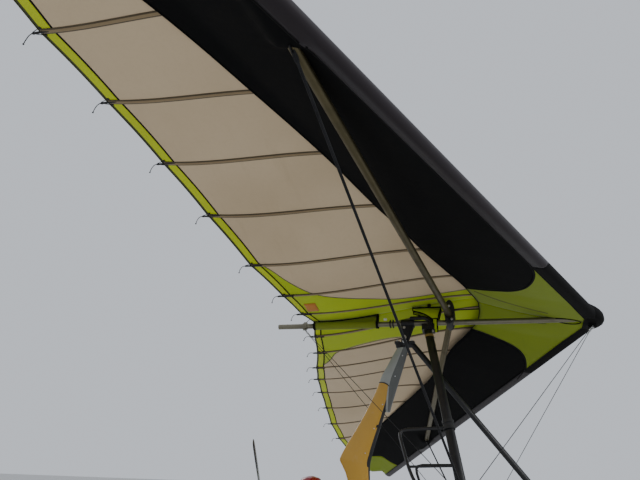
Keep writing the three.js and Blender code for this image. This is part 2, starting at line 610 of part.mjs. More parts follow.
// Engine on its cradle: two upright cylinders, the gearbox and its shaft behind them
const motor = {
  y: 2396, caseSize: [230, 380, 186], caseZ: 914, cylinders: [2310, 2476], foot: 1000, top: 1276,
  barrel: 74, flange: 84, portX: 82, portZ: 1085, carbX: 118, rear: 2580,
};
{
  const plates = [1, -1].map((side) => box([10, 400, 330], [side * 60, 2400, 645]));
  const holes = box([200, 220, 150], [0, 2400, 650]);
  const top = box([200, 420, 12], [0, 2400, 814]);
  const base = box([130, 420, 12], [0, 2400, beamTop + 6]);
  piece(root, "engine_cradle", finish.black, cut(join(...plates, top, base), holes));
}
const standing = (outline, y, segments) =>
  new THREE.LatheGeometry(outline.map(([r, z]) => new THREE.Vector2(r, z)), segments)
    .rotateX(Math.PI / 2).translate(0, y, 0);
function cylinder(y) { // foot flange, water jacket, and the head's flange and dome
  const { foot, barrel, flange, top } = motor;
  return standing([
    [0, foot], [barrel + 4, foot], [barrel + 4, foot + 12], [barrel, foot + 36], [barrel, foot + 172],
    [flange, foot + 184], [flange, foot + 206], [barrel, foot + 212], [barrel, foot + 252], [34, top - 8],
    [34, top], [0, top],
  ], y, 20);
}
{
  const crankcase = box(motor.caseSize, [0, motor.y, motor.caseZ]);
  const gearbox = rod([0, motor.rear, prop.z], [0, 2706, prop.z], 92, 24);
  const lower = rod([0, motor.rear, 980], [0, 2690, 980], 104, 24);
  const ports = motor.cylinders.map((y) => box([44, 52, 52], [-motor.portX, y, motor.portZ]));
  const shaft = rod([0, 2700, prop.z], [0, prop.y - 48, prop.z], 34, 20);
  const starter = rod([0, 2150, 930], [0, 2210, 930], 92, 24);
  const carbs = motor.cylinders.map((y) => box([110, 64, 70], [motor.carbX, y, 1070]));
  piece(root, "engine", finish.alloy, join(
    crankcase, ...motor.cylinders.map(cylinder), gearbox, lower, shaft, starter, ...carbs, ...ports));
}
// Intake box with a round top over the rear cylinder
{
  const foot = motor.top + gap;
  const outline = [
    [0, foot], [46, foot], [46, 1360], [86, 1384], [98, 1430], [98, 1530], [86, 1580], [48, 1606], [0, 1612],
  ];
  piece(root, "air_filter", finish.red, standing(outline, motor.cylinders[1], 28));
}
{
  const core = box([40, 300, 300], [262, 2390, 960]);
  const arms = [2300, 2480].map((y) => box([140, 24, 24], [185.5, y, 850]));
  piece(root, "radiator", finish.black, join(core, ...arms));
}
{
  const silencer = { x: -290, z: 900, front: 2190, rear: 2620, radius: 74 };
  const { x, z, front, rear, radius } = silencer;
  const headers = motor.cylinders.map((y) => bentTube([
    [x, y, z + 30], [-200, y, motor.portZ], [-motor.portX - 22 - gap, y, motor.portZ],
  ], 22, 60, 10, 3));
  piece(root, "exhaust", finish.steel, join(
    rod([x, front, z], [x, rear, z], radius, 20), rod([x, rear - 10, z], [x, rear + 80, z], 22, 12),
    ...headers));
}

// Propeller: a hub and three twisted blades. Stations: radius, chord, thickness, twist
{
  const table = [
    [50, 62, 40, 46], [150, 104, 26, 38], [340, 150, 18, 26], [600, 138, 12, 18], [790, 104, 8, 14],
    [prop.radius, 62, 6, 13],
  ];
  const blade = () => loft(table.map(([r, chord, thick, twist]) => Array.from({ length: 12 }, (_, i) => {
    const angle = (2 * Math.PI * i) / 12;
    const along = (chord / 2) * Math.cos(angle);
    const up = (thick / 2) * Math.sin(angle) * (1.2 + 0.6 * Math.cos(angle));
    const t = rad(twist);
    return [along * Math.cos(t) - up * Math.sin(t), along * Math.sin(t) + up * Math.cos(t), r];
  })));
  const bladesTurned = Array.from({ length: prop.blades }, (_, i) =>
    blade().rotateY(prop.firstBlade + (i * 2 * Math.PI) / prop.blades).translate(0, prop.y, prop.z));
  const hub = rod([0, prop.y - 46, prop.z], [0, prop.y + 40, prop.z], 72, 24);
  const spinner = rod([0, prop.y + 38, prop.z], [0, prop.y + 110, prop.z], 66, 24, 14);
  piece(root, "propeller", finish.black, join(hub, spinner, ...bladesTurned));
}

// Pod: an open shell round the front seat's legs. Stations: y, half width, floor z, top z
{
  const wall = 5;
  const table = [
    [-425, 60, 520, 590], [-400, 112, 462, 640], [-330, 160, 430, 700], [-200, 205, 412, 770],
    [0, 244, 406, 836], [250, 270, 405, 880], [600, 282, 405, 840], [1060, 284, 405, 700],
  ];
  const ring = ([y, half, low, high], inset) => {
    const count = 28;
    const [w, h, mid] = [half - inset, (high - low) / 2 - inset, (high + low) / 2];
    return Array.from({ length: count }, (_, i) => {
      const angle = (2 * Math.PI * i) / count + Math.PI / count;
      const [c, s] = [Math.cos(angle), Math.sin(angle)];
      const round = (t) => Math.sign(t) * Math.abs(t) ** 0.6;
      return [w * round(c), y, mid + h * round(s)];
    });
  };
  const shell = loft(table.map((row) => ring(row, 0)));
  const inner = table.map((row) => [...row]);
  inner[0][0] += wall;
  inner.at(-1)[0] += 20;
  const hollow = loft(inner.map((row) => ring(row, wall)));
  const cockpit = box([470, 900, 400], [0, 870, 880]);
  const strutHole = rod([0, strut.footY + 120, strut.footZ + 150],
    [0, strut.footY + 520, strut.footZ + 650], strut.radius + 16, 16);
  const stemHole = tilt(rod([0, 0, -120], [0, 0, 20], forkHead.radius + 22, 20));
  const beamPath = box([beam.size, 3000, beam.size], [0, 1500 + beam.front, beam.z], gap);
  piece(root, "pod", finish.yellow, cut(shell, hollow, cockpit, strutHole, stemHole, beamPath));

  // Instrument panel under the deck, trimmed to it, and the windscreen standing on it
  const deck = cut(shell, hollow);
  piece(root, "instrument_panel", finish.black, cut(
    box([330, 14, 150], [0, 408, 800]), deck, deck.clone().translate(0, 0, -2 * gap)));
  const bow = (y, z, halfWidth, lean, inset) => Array.from({ length: 9 }, (_, i) => {
    const t = -1 + (2 * i) / 8;
    return [t * (halfWidth - inset), y + lean * t * t + inset, z];
  });
  const level = (y, z, half, lean) => [...bow(y, z, half, lean, 0), ...bow(y, z, half, lean, 4).reverse()];
  piece(root, "windscreen", finish.clear, cut(
    loft([level(250, 830, 196, 90), level(420, 1000, 176, 80), level(500, 1066, 130, 54)]),
    shell.clone().translate(0, 0, gap)));
}

// Foot bar inside the pod
piece(root, "foot_bar", finish.steel, join(
  rod([-215, 250, 560], [215, 250, 560], 11, 14), box([30, 30, 90], [0, 250, beamTop + 45])));

export default root;
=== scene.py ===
import json
import math

import bmesh
import bpy
from mathutils import Matrix, Vector
from mathutils.bvhtree import BVHTree


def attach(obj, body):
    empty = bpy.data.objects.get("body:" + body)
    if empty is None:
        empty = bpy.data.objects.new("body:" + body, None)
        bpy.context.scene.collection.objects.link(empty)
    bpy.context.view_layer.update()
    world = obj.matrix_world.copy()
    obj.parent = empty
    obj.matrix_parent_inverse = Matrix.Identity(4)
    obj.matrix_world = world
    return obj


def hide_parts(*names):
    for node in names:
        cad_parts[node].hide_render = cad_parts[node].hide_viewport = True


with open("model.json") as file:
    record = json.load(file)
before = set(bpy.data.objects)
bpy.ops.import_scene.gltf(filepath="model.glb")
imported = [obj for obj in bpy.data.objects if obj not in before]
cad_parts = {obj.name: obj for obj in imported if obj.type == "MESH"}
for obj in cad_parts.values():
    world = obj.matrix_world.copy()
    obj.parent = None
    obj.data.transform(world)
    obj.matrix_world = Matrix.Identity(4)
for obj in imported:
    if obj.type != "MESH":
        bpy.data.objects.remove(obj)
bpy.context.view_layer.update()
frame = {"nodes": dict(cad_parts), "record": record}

print("frame loaded", len(frame["nodes"]), "nodes")


# Camera, a person standing by the starboard side and looking up under the wing

cameraSpot = {
    "place": (-5.192, -0.279, 1.625),  # metres
    "yaw": 15.633,  # degrees from +X towards +Y
    "pitch": 21.983,
    "roll": 1.815,
    "focal": 579.46,  # pixels, for a picture 640 wide
    "sensor": 36.0,
    "pictureWidth": 640,
}


def makeCamera(spot):
    yaw, pitch, roll = (math.radians(spot[key]) for key in ("yaw", "pitch", "roll"))
    ahead = Vector((math.cos(yaw) * math.cos(pitch), math.sin(yaw) * math.cos(pitch), math.sin(pitch)))
    level = Vector((math.sin(yaw), -math.cos(yaw), 0))
    above = level.cross(ahead)
    right = level * math.cos(roll) + above * math.sin(roll)
    up = above * math.cos(roll) - level * math.sin(roll)
    data = bpy.data.cameras.new("camera")
    data.sensor_fit = "HORIZONTAL"
    data.sensor_width = spot["sensor"]
    data.lens = spot["focal"] * spot["sensor"] / spot["pictureWidth"]
    data.clip_start, data.clip_end = 0.05, 400
    camera = bpy.data.objects.new("camera", data)
    turned = Matrix((right, up, -ahead)).transposed().to_4x4()
    camera.matrix_world = Matrix.Translation(spot["place"]) @ turned
    bpy.context.scene.collection.objects.link(camera)
    bpy.context.scene.camera = camera


makeCamera(cameraSpot)


# Shader building

class Socket:
    # one output of a node; arithmetic on it adds Math nodes
    def __init__(self, tree, out):
        self.tree, self.out = tree, out

    def node(self, kind, settings, links, output=0):
        made = self.tree.nodes.new(kind)
        for name, value in settings.items():
            setattr(made, name, value)
        for name, value in links.items():
            if isinstance(value, Socket):
                self.tree.links.new(value.out, made.inputs[name])
            else:
                made.inputs[name].default_value = value
        return Socket(self.tree, made.outputs[output])

    def sum(self, kind, first, second):
        return self.node("ShaderNodeMath", {"operation": kind}, {0: first, 1: second})

    def __add__(self, other):
        return self.sum("ADD", self, other)

    def __radd__(self, other):
        return self.sum("ADD", other, self)

    def __sub__(self, other):
        return self.sum("SUBTRACT", self, other)

    def __rsub__(self, other):
        return self.sum("SUBTRACT", other, self)

    def __mul__(self, other):
        return self.sum("MULTIPLY", self, other)

    def __rmul__(self, other):
        return self.sum("MULTIPLY", other, self)

    def ramp(self, low, high):
        # 0 below low and 1 above high
        return self.node("ShaderNodeMapRange", {"interpolation_type": "SMOOTHSTEP"},
                         {"Value": self, "From Min": low, "From Max": high})

    def mix(self, first, second):
        # first where this is 0, second where it is 1
        return self.node("ShaderNodeMix", {"data_type": "RGBA"},
                         {0: self, 6: opaque(first), 7: opaque(second)}, 2)

    def noise(self, scale, detail=3, roughness=0.5):
        return self.node("ShaderNodeTexNoise", {}, {"Vector": self, "Scale": scale, "Detail": detail,
                                                    "Roughness": roughness})

    def spots(self, scale):
        return self.node("ShaderNodeTexVoronoi", {}, {"Vector": self, "Scale": scale})

    def waves(self, scale, direction):
        return self.node("ShaderNodeTexWave", {"wave_type": "BANDS", "bands_direction": direction},
                         {"Vector": self, "Scale": scale})

    def moved(self, turn=(0, 0, 0), scale=(1, 1, 1)):
        return self.node("ShaderNodeMapping", {}, {"Vector": self, "Rotation": turn, "Scale": scale})


def opaque(colour):
    return colour if isinstance(colour, Socket) else (*colour[:3], 1)


def startMaterial(name):
    made = bpy.data.materials.new(name)
    made.use_nodes = True
    tree = made.node_tree
    tree.nodes.clear()
    start = Socket(tree, None)
    place = start.node("ShaderNodeTexCoord", {}, {}, "Object")
    return made, place


def endMaterial(made, place, colour, roughness, bump=None, **fixed):
    # bump is (height, strength, distance); fixed holds the shader's own plain numbers
    wanted = {"Base Color": opaque(colour), "Roughness": roughness}
    for name, value in fixed.items():
        wanted[name.replace("_", " ")] = value
    if bump:
        height, strength, distance = bump
        wanted["Normal"] = place.node("ShaderNodeBump", {}, {"Height": height, "Strength": strength,
                                                             "Distance": distance})
    surface = place.node("ShaderNodeBsdfPrincipled", {}, wanted)
    shown = place.tree.nodes.new("ShaderNodeOutputMaterial")
    place.tree.links.new(surface.out, shown.inputs["Surface"])
    return made


# Finishes

def clothFinish(name, colour, deep, roughness=0.78, weave=0.25, sheen=0.1, gloss=0.5):
    # woven sailcloth: a fine weave, cloudy shade and long soft creases
    made, place = startMaterial(name)
    cloudy = place.noise(1.3, 4).ramp(0.35, 0.75)
    fine = place.noise(38, 4, 0.6)
    stained = place.moved(scale=(0.6, 3.0, 1.0)).noise(2.2, 5, 0.65).ramp(0.55, 0.8)
    base = cloudy.mix(colour, [0.6 * c + 0.4 * d for c, d in zip(colour, deep)])
    base = (stained * 0.35).mix(base, deep)
    base = (fine.ramp(0.4, 0.75) * 0.12).mix(base, deep)
    threads = place.waves(220, "X") + place.waves(220, "Y")
    creases = place.moved(turn=(0, 0, 0.5), scale=(3.0, 0.8, 1.0)).noise(1.6, 3, 0.5)
    height = threads * (0.02 * weave) + creases * 0.6 + fine * 0.02
    return endMaterial(made, place, base, roughness - 0.1 * fine, (height, 0.35, 0.02), Sheen_Weight=sheen,
                       Specular_IOR_Level=gloss)


def tubeFinish(name, colour, metallic=0.85, roughness=0.36, coat=0.0):
    # drawn and anodised or painted tube: fine lines, dull patches, small scratches
    made, place = startMaterial(name)
    lines = place.moved(scale=(90, 90, 4)).noise(6, 3)
    dull = place.noise(7, 4, 0.6).ramp(0.4, 0.7)
    scratch = place.moved(turn=(0.3, 0.6, 0.2), scale=(1, 14, 30)).noise(5, 2).ramp(0.68, 0.74)
    base = (dull * 0.3).mix(colour, [c * 0.6 for c in colour])
    base = (scratch * 0.35).mix(base, [min(1, c * 1.8 + 0.03) for c in colour])
    rough = roughness + 0.14 * dull + 0.05 * lines
    return endMaterial(made, place, base, rough, (lines * 0.3 + scratch * 0.5, 0.12, 0.001),
                       Metallic=metallic, Coat_Weight=coat)


def gelFinish(name, colour, deep, roughness=0.28):
    # glossy moulded shell: slight ripple, faded and dusty patches
    made, place = startMaterial(name)
    ripple = place.noise(60, 2)
    faded = place.noise(3.0, 4, 0.6).ramp(0.4, 0.75)
    dust = place.noise(14, 5, 0.7).ramp(0.55, 0.8)
    specks = place.spots(90).ramp(0.03, 0.06)
    base = (faded * 0.45).mix(colour, deep)
    base = (dust * 0.16).mix(base, (0.42, 0.36, 0.27))
    base = ((1 - specks) * 0.25).mix(base, (0.12, 0.1, 0.07))
    return endMaterial(made, place, base, roughness + 0.2 * dust, (ripple * 0.4 + dust * 0.1, 0.08, 0.003),
                       Coat_Weight=0.35, Coat_Roughness=0.12)


def mouldFinish(name, colour, grain=120, roughness=0.55, metallic=0.0, wear=(0.2, 0.2, 0.2)):
    # moulded or cast surface with a pebbled grain and rubbed highs
    made, place = startMaterial(name)
    pebbles = place.spots(grain)
    cloudy = place.noise(9, 4, 0.6).ramp(0.4, 0.7)
    rubbed = place.noise(26, 5, 0.7).ramp(0.62, 0.8)
    base = (cloudy * 0.35).mix(colour, [c * 0.65 for c in colour])
    base = (rubbed * 0.12).mix(base, wear)
    return endMaterial(made, place, base, roughness + 0.18 * cloudy - 0.08 * rubbed,
                       (pebbles * 0.5 + cloudy * 0.2, 0.25, 0.0012), Metallic=metallic)


finishes = {
    "cream": clothFinish("creamCloth", (0.65, 0.505, 0.325), (0.50, 0.37, 0.215)),
    "lime": clothFinish("limeCloth", (0.44, 0.56, 0.003), (0.33, 0.44, 0.003), gloss=0.25),
    # a darker copy of the lime: painted shade where the lower cloth lies under the upper one
    "limeDouble": clothFinish("limeClothPaintedShade", (0.21, 0.28, 0.002), (0.14, 0.19, 0.002), gloss=0.2),
    "limeBand": clothFinish("limeBandCloth", (0.58, 0.68, 0.010), (0.38, 0.43, 0.010), gloss=0.2),
    "olive": clothFinish("olivePocketCloth", (0.19, 0.23, 0.014), (0.12, 0.145, 0.010), gloss=0.25),
    "oliveHem": clothFinish("oliveHemTape", (0.065, 0.072, 0.018), (0.045, 0.05, 0.012), gloss=0.2),
    "black": clothFinish("blackCloth", (0.0028, 0.0028, 0.0030), (0.005, 0.005, 0.005), 0.9, sheen=0,
                         gloss=0.12),
    "charcoal": clothFinish("leadingEdgeCloth", (0.018, 0.013, 0.016), (0.011, 0.008, 0.010), 0.48,
                            sheen=0.05, gloss=0.24),
    # brown of the batten pockets: painted shade of battens seen through the sail
    "pocket": clothFinish("battenPocketPaintedShade", (0.28, 0.20, 0.10), (0.19, 0.13, 0.06)),
    "thread": clothFinish("darkSeamTape", (0.080, 0.056, 0.026), (0.050, 0.034, 0.016)),
    "tape": clothFinish("blackSeamTape", (0.004, 0.004, 0.004), (0.008, 0.007, 0.007), 0.85, sheen=0,
                        gloss=0.15),
    "orange": clothFinish("orangeTag", (0.55, 0.20, 0.015), (0.40, 0.13, 0.01)),
    "bronze": tubeFinish("bronzeTube", (0.108, 0.09, 0.047), 0.8, 0.38),
    "silver": tubeFinish("bareTube", (0.55, 0.55, 0.54), 0.95, 0.32),
    "blackTube": tubeFinish("blackTube", (0.010, 0.010, 0.011), 0.2, 0.42, 0.1),
    "blackMetal": mouldFinish("blackPaintedMetal", (0.012, 0.012, 0.013), 260, 0.42, 0.4, (0.16, 0.16, 0.17)),
    "plastic": mouldFinish("blackPlastic", (0.010, 0.010, 0.011), 200, 0.55, 0.0, (0.06, 0.06, 0.06)),
    "cable": tubeFinish("steelCable", (0.022, 0.022, 0.024), 0.6, 0.5),
    "yellow": gelFinish("yellowGelCoat", (0.52, 0.28, 0.016), (0.38, 0.19, 0.012)),
    "keelGrey": tubeFinish("keelTube", (0.20, 0.185, 0.135), 0.85, 0.36),
    "foam": mouldFinish("foamGrip", (0.014, 0.014, 0.015), 420, 0.85),
    "white": mouldFinish("whitePlastic", (0.65, 0.65, 0.62), 160, 0.4),
    "ochre": clothFinish("ochreTape", (0.30, 0.20, 0.04), (0.16, 0.11, 0.03)),
    "grey": gelFinish("greyGelCoat", (0.29, 0.30, 0.28), (0.21, 0.215, 0.20), 0.34),
}
print("finishes made")


# Mesh building

def addRod(bm, start, end, radius, endRadius=None, sides=24):
    a, b = Vector(start), Vector(end)
    turn = (b - a).to_track_quat("Z", "Y").to_matrix().to_4x4()
    bmesh.ops.create_cone(
        bm, cap_ends=True, segments=sides, radius1=radius, depth=(b - a).length,
        radius2=radius if endRadius is None else endRadius, matrix=Matrix.Translation((a + b) / 2) @ turn)


def addBox(bm, size, centre, rounding=0.0, turn=None, segments=2):
    place = Matrix.Translation(centre) @ (turn or Matrix()) @ Matrix.Diagonal((*size, 1))
    verts = bmesh.ops.create_cube(bm, size=1, matrix=place)["verts"]
    if rounding:
        edges = list({edge for vert in verts for edge in vert.link_edges})
        bmesh.ops.bevel(bm, geom=edges, offset=rounding, offset_type="OFFSET", affect="EDGES",
                        segments=segments, profile=0.5, material=-1, clamp_overlap=True)


def addTurned(bm, profile, centre, axis, steps=40, closed=False):
    # profile rows are radius and distance along the axis
    axis = Vector(axis).normalized()
    side = axis.orthogonal().normalized()
    verts = [bm.verts.new(Vector(centre) + axis * along + side * radius) for radius, along in profile]
    edges = [bm.edges.new(pair) for pair in zip(verts, verts[1:])]
    if closed:
        edges.append(bm.edges.new((verts[-1], verts[0])))
    bmesh.ops.spin(bm, geom=verts + edges, cent=centre, axis=axis, angle=2 * math.pi, steps=steps,
                   use_merge=True)


def addTube(bm, points, radius, sides=10, smooth=0, closed=False):
    # a round tube along points, or along a soft curve through them
    curve = bpy.data.curves.new("route", "CURVE")
    curve.dimensions = "3D"
    curve.bevel_depth = radius
    curve.bevel_resolution = max(0, sides // 2 - 2)
    curve.use_fill_caps = not closed
    spline = curve.splines.new("BEZIER" if smooth else "POLY")
    if smooth:
        curve.resolution_u = smooth
        spline.bezier_points.add(len(points) - 1)
        for at, point in zip(spline.bezier_points, points):
            at.co = point
            at.handle_left_type = at.handle_right_type = "AUTO"
    else:
        spline.points.add(len(points) - 1)
        for at, point in zip(spline.points, points):
            at.co = (*point, 1)
    spline.use_cyclic_u = closed
    holder = bpy.data.objects.new("route", curve)
    bpy.context.scene.collection.objects.link(holder)
    mesh = bpy.data.meshes.new_from_object(holder.evaluated_get(bpy.context.evaluated_depsgraph_get()))
    bm.from_mesh(mesh)
    bpy.data.objects.remove(holder)
    bpy.data.meshes.remove(mesh)
    bpy.data.curves.remove(curve)


def addBolt(bm, place, axis, across=0.013, head=0.008):
    # washer, hexagon head and the stud's end
    a, n = Vector(place), Vector(axis).normalized()
    addRod(bm, a, a + n * 0.002, across * 0.85, sides=20)
    addRod(bm, a, a + n * (head + 0.002), across * 0.55, sides=6)
    addRod(bm, a + n * head, a + n * (head + 0.006), across * 0.28, sides=12)


bodyOfNode = {node: body for body, nodes in frame["record"]["behaviour"]["bodies"].items() for node in nodes}


def makePiece(name, bm, body, finish, replaces=(), onWing=False, sharp=32, open=False):
    bmesh.ops.remove_doubles(bm, verts=bm.verts, dist=1e-5)
    if not open:
        bmesh.ops.recalc_face_normals(bm, faces=bm.faces)
    mesh = bpy.data.meshes.new(name)
    bm.to_mesh(mesh)
    bm.free()
    if onWing:
        mesh.transform(wingPlace)
    mesh.polygons.foreach_set("use_smooth", [True] * len(mesh.polygons))
    mesh.set_sharp_from_angle(angle=math.radians(sharp))
    for one in finish if isinstance(finish, list) else [finish]:
        mesh.materials.append(finishes[one])
    piece = bpy.data.objects.new(name, mesh)
    bpy.context.scene.collection.objects.link(piece)
    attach(piece, body)
    if replaces:
        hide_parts(*replaces)
    return piece


def thicken(piece, thickness, offset=0, inside=0):
    # inside: how many finishes further on the inner face's one is
    shell = piece.modifiers.new("thickness", "SOLIDIFY")
    shell.thickness, shell.offset, shell.material_offset = thickness, offset, inside


def dress(node, finish, bevel=0.0, segments=2, sharp=32, name=None):
    # a copy of a node's solid with its doubles merged and its edges rounded, which stands for it
    bm = bmesh.new()
    bm.from_mesh(frame["nodes"][node].data)
    bmesh.ops.remove_doubles(bm, verts=bm.verts, dist=2e-5)
    bmesh.ops.dissolve_limit(bm, angle_limit=math.radians(1.0), verts=bm.verts, edges=bm.edges)
    if bevel:
        keen = [edge for edge in bm.edges if len(edge.link_faces) == 2
                and edge.calc_face_angle(0) > math.radians(40)]
        bmesh.ops.bevel(bm, geom=keen, offset=bevel, offset_type="OFFSET", affect="EDGES", segments=segments,
                        profile=0.5, material=-1, clamp_overlap=True)
    return makePiece(name or f"{node}_skin", bm, bodyOfNode[node], finish, [node],
                     sharp=sharp)


# Wing: its own frame has the nose at the origin and the keel along +Y

noseY = -1.290
wing = {
    "height": 2.903, "pitch": math.radians(0.454), "roll": math.radians(12.397),
    "sweep": math.radians(63.435), "frontOut": 0.015, "droop": 0.0388, "edgeRadius": 0.042,
    "camber": 0.61, "joinAt": 0.42, "cloth": 0.0012, "billow": 0.007, "scallop": 0.005,
    "tipFrom": 4.44, "tip": 5.0, "apart": 0.013,  # apart: lower cloth under the upper one at the hem
    "pocketBelow": 0.11, "pocketAbove": 0.30,  # leading edge cloth, below and above
    "bandInner": 0.060, "bandOuter": 0.09,  # trailing band width at the root and outboard
    "narrowTape": 0.012,  # up to this width a tape isn't a sheet
    "firstRow": 0.03,  # share of the chord where the upper cloths begin
    "under": 0.004, "sewnAhead": 0.02,  # laps under the band and the leading edge cloth
    "lift": 0.0006, "edgeLift": 0.0016,  # cloths that lie on another one
}
wingPlace = (Matrix.Translation((0, noseY, wing["height"])) @ Matrix.Rotation(wing["pitch"], 4, "X")
             @ Matrix.Rotation(wing["roll"], 4, "Y"))

# Battens' places: x, trailing edge y, trailing edge z
stations = [
    (0, 2.500, 0.044), (0.240, 2.555, 0.010), (0.610, 2.620, 0), (1.080, 2.755, 0.030), (1.660, 2.900, 0.120),
    (2.220, 3.000, 0.160), (2.800, 3.075, 0.150), (3.350, 3.130, 0.100), (3.830, 3.115, 0.030),
    (4.400, 3.045, -0.050), (4.850, 2.940, -0.120), (5.000, 2.840, -0.160),
]
battens = stations[1:10]
sides = [("port", 1), ("starboard", -1)]


def lerp(first, second, share):
    return first + (second - first) * share


def turns(count):
    # angles evenly round a circle
    return [2 * math.pi * k / count for k in range(count)]


def frontEdge(x):
    return x / math.tan(wing["sweep"]) - wing["frontOut"]


def rearEdge(x):
    # trailing edge y and z, drawn in a little between battens, and how far x is between two of them
    for (x0, y0, z0), (x1, y1, z1) in zip(stations, stations[1:]):
        if x <= x1 or x1 == stations[-1][0]:
            share = min(max((x - x0) / (x1 - x0), 0), 1)
            bow = math.sin(math.pi * share) * min(1, (x1 - x0) / 0.5)
            return lerp(y0, y1, share) - wing["scallop"] * bow, lerp(z0, z1, share), bow


def topPoint(x, share, lift=0.0):
    # upper cloth at x out along the wing and a share of the chord
    rearY, rearZ, bow = rearEdge(x)
    chord = rearY - frontEdge(x)
    z = lerp(-wing["droop"] * x, rearZ, share) + wing["camber"] * share * (1 - share) ** 2 * chord
    z += wing["billow"] * bow * math.sqrt(max(0, share * (1.15 - share)))
    return Vector((x, frontEdge(x) + share * chord, z + lift))


def chordAt(x):
    return rearEdge(x)[0] - frontEdge(x)


def edgeRadius(x):
    return min(wing["edgeRadius"], chordAt(x) * 0.16)


# The crossbar's tube runs into the sail: its line, and how the lower cloth covers the end
crossbarEnd = {
    "inner": (0, 1.234, 0.043), "outer": (3.48, 1.797, -0.148), "clear": 0.034,
    "mouth": (3.15, 3.22), "close": (3.49, 3.66), "flat": 0.040, "fade": 0.15,
}


def eased(share):
    share = min(max(share, 0), 1)
    return share * share * (3 - 2 * share)


def coveredEnd(x, y, z):
    # height of the cloth once it passes under the crossbar's end
    inner, outer = Vector(crossbarEnd["inner"]), Vector(crossbarEnd["outer"])
    spot = inner.lerp(outer, x / outer.x)
    opened, closed = crossbarEnd["mouth"], crossbarEnd["close"]
    cover = eased((x - opened[0]) / (opened[1] - opened[0]))
    cover *= 1 - eased((x - closed[0]) / (closed[1] - closed[0]))
    away = abs(y - spot.y)
    cover *= 1 - eased((away - crossbarEnd["flat"]) / (crossbarEnd["fade"] - crossbarEnd["flat"]))
    return min(z, lerp(z, spot.z - crossbarEnd["clear"], cover))


def underPoint(x, y, drop=0.0):
    # lower cloth: from under the leading edge back to its hem below the upper cloth
    x = max(x, 0)
    front, r = frontEdge(x), edgeRadius(x)
    rearY = rearEdge(x)[0]
    hemY = lerp(front, rearY, wing["joinAt"])
    if y >= hemY:
        return Vector((x, y, topPoint(x, (y - front) / (rearY - front)).z - wing["apart"] - drop))
    hem = topPoint(x, wing["joinAt"])
    share = (y - front - r) / (hemY - front - r)
    sag = 1 + 0.5 * max(0, 1 - x / 0.35)  # it hangs lower by the keel
    z = lerp(-wing["droop"] * x - r, hem.z - wing["apart"], max(share, 0) ** sag)
    belly = 0.016 * min(1, x / 0.8) * math.sin(math.pi * min(max(share, 0), 1))
    return Vector((x, y, coveredEnd(x, y, z - belly) - drop))


def through(rows, at):
    # smooth value at a place between rows of (place, value)
    if at <= rows[0][0]:
        return rows[0][1]
    if at >= rows[-1][0]:
        return rows[-1][1]
    for i in range(len(rows) - 1):
        if at <= rows[i + 1][0]:
            break
    p0, p1 = rows[i], rows[i + 1]
    width = p1[0] - p0[0]
    before = rows[i - 1] if i else p0
    after = rows[i + 2] if i + 2 < len(rows) else p1
    m0 = (p1[1] - before[1]) / (p1[0] - before[0]) if p1[0] != before[0] else 0
    m1 = (after[1] - p0[1]) / (after[0] - p0[0]) if after[0] != p0[0] else 0
    t = (at - p0[0]) / width
    return ((2 * t ** 3 - 3 * t ** 2 + 1) * p0[1] + (t ** 3 - 2 * t ** 2 + t) * width * m0
            + (3 * t ** 2 - 2 * t ** 3) * p1[1] + (t ** 3 - t ** 2) * width * m1)


def readRows(rows, at, columns=(1, 2, 3)):
    # smooth values of the columns where the first one is at
    return [through([(row[0], row[k]) for row in rows], at) for k in columns]


def onCurve(points, share):
    # point at a share of the way along a soft line through (x, y) points
    marks = [0]
    for a, b in zip(points, points[1:]):
        marks.append(marks[-1] + math.dist(a, b))
    return Vector(readRows([(m, *p) for m, p in zip(marks, points)], share * marks[-1], (1, 2)))


# Where the lime root meets the cream cloth: share of the chord and x
rootSeam = {
    "starboard": [(0.078, 0.55), (0.229, 0.32), (0.402, 0.206), (0.516, 0.196), (0.629, 0.235),
                  (0.717, 0.333), (0.805, 0.441), (0.863, 0.535), (0.904, 0.654), (0.937, 0.832),
                  (0.954, 1.016), (1.0, 1.25)],
    "port": [(0.05, 0.70), (0.231, 0.55), (0.35, 0.541), (0.488, 0.547), (0.579, 0.55), (0.633, 0.529),
             (0.696, 0.503), (0.776, 0.515), (0.845, 0.556), (0.916, 0.659), (0.945, 0.891), (1.0, 1.1)],
}
# The black panel's inner end, from front to rear, and the lower cloth's hem: x and y
blackEnd = {
    "starboard": [(1.063, 0.623), (0.969, 0.591), (0.857, 0.570), (0.729, 0.574), (0.611, 0.599),
                  (0.514, 0.641), (0.432, 0.714), (0.389, 0.801), (0.344, 0.923), (0.310, 1.077)],
    "port": [(1.169, 0.640), (0.940, 0.572), (0.800, 0.572), (0.686, 0.597), (0.597, 0.655), (0.537, 0.745),
             (0.495, 0.847), (0.458, 0.961), (0.437, 1.057)],
}
hemLine = {
    "starboard": [(0, 0.982), (0.043, 0.994), (0.178, 1.034), (0.312, 1.078), (0.531, 1.172), (0.713, 1.263),
                  (0.893, 1.357), (1.144, 1.46), (1.52, 1.645), (2.11, 1.888), (2.706, 2.15), (3.33, 2.42),
                  (4.0, 2.74), (4.44, 2.80)],
    "port": [(0, 0.982), (0.13, 0.975), (0.239, 0.988), (0.312, 1.007), (0.425, 1.052), (0.588, 1.132),
             (0.813, 1.243), (1.012, 1.320), (1.68, 1.565), (2.19, 1.797), (2.665, 2.03), (2.975, 2.194),
             (3.49, 2.50), (4.0, 2.80), (4.44, 2.86)],
}
# Battens run in towards the keel as they go forward: x at the trailing edge and x at the hem
battenRun = {
    "starboard": [(0.24, 0.06), (0.61, 0.46), (1.08, 0.91), (1.66, 1.51), (2.22, 2.12), (2.80, 2.71),
                  (3.35, 3.33), (3.83, 3.82), (4.40, 4.40)],
    "port": [(0.24, 0.14), (0.61, 0.52), (1.08, 1.02), (1.66, 1.39), (2.22, 2.00), (2.80, 2.53), (3.35, 3.05),
             (3.83, 3.49), (4.40, 4.10)],
}


def bandWidth(x):
    return lerp(wing["bandInner"], wing["bandOuter"], min(1, x / 1.6))


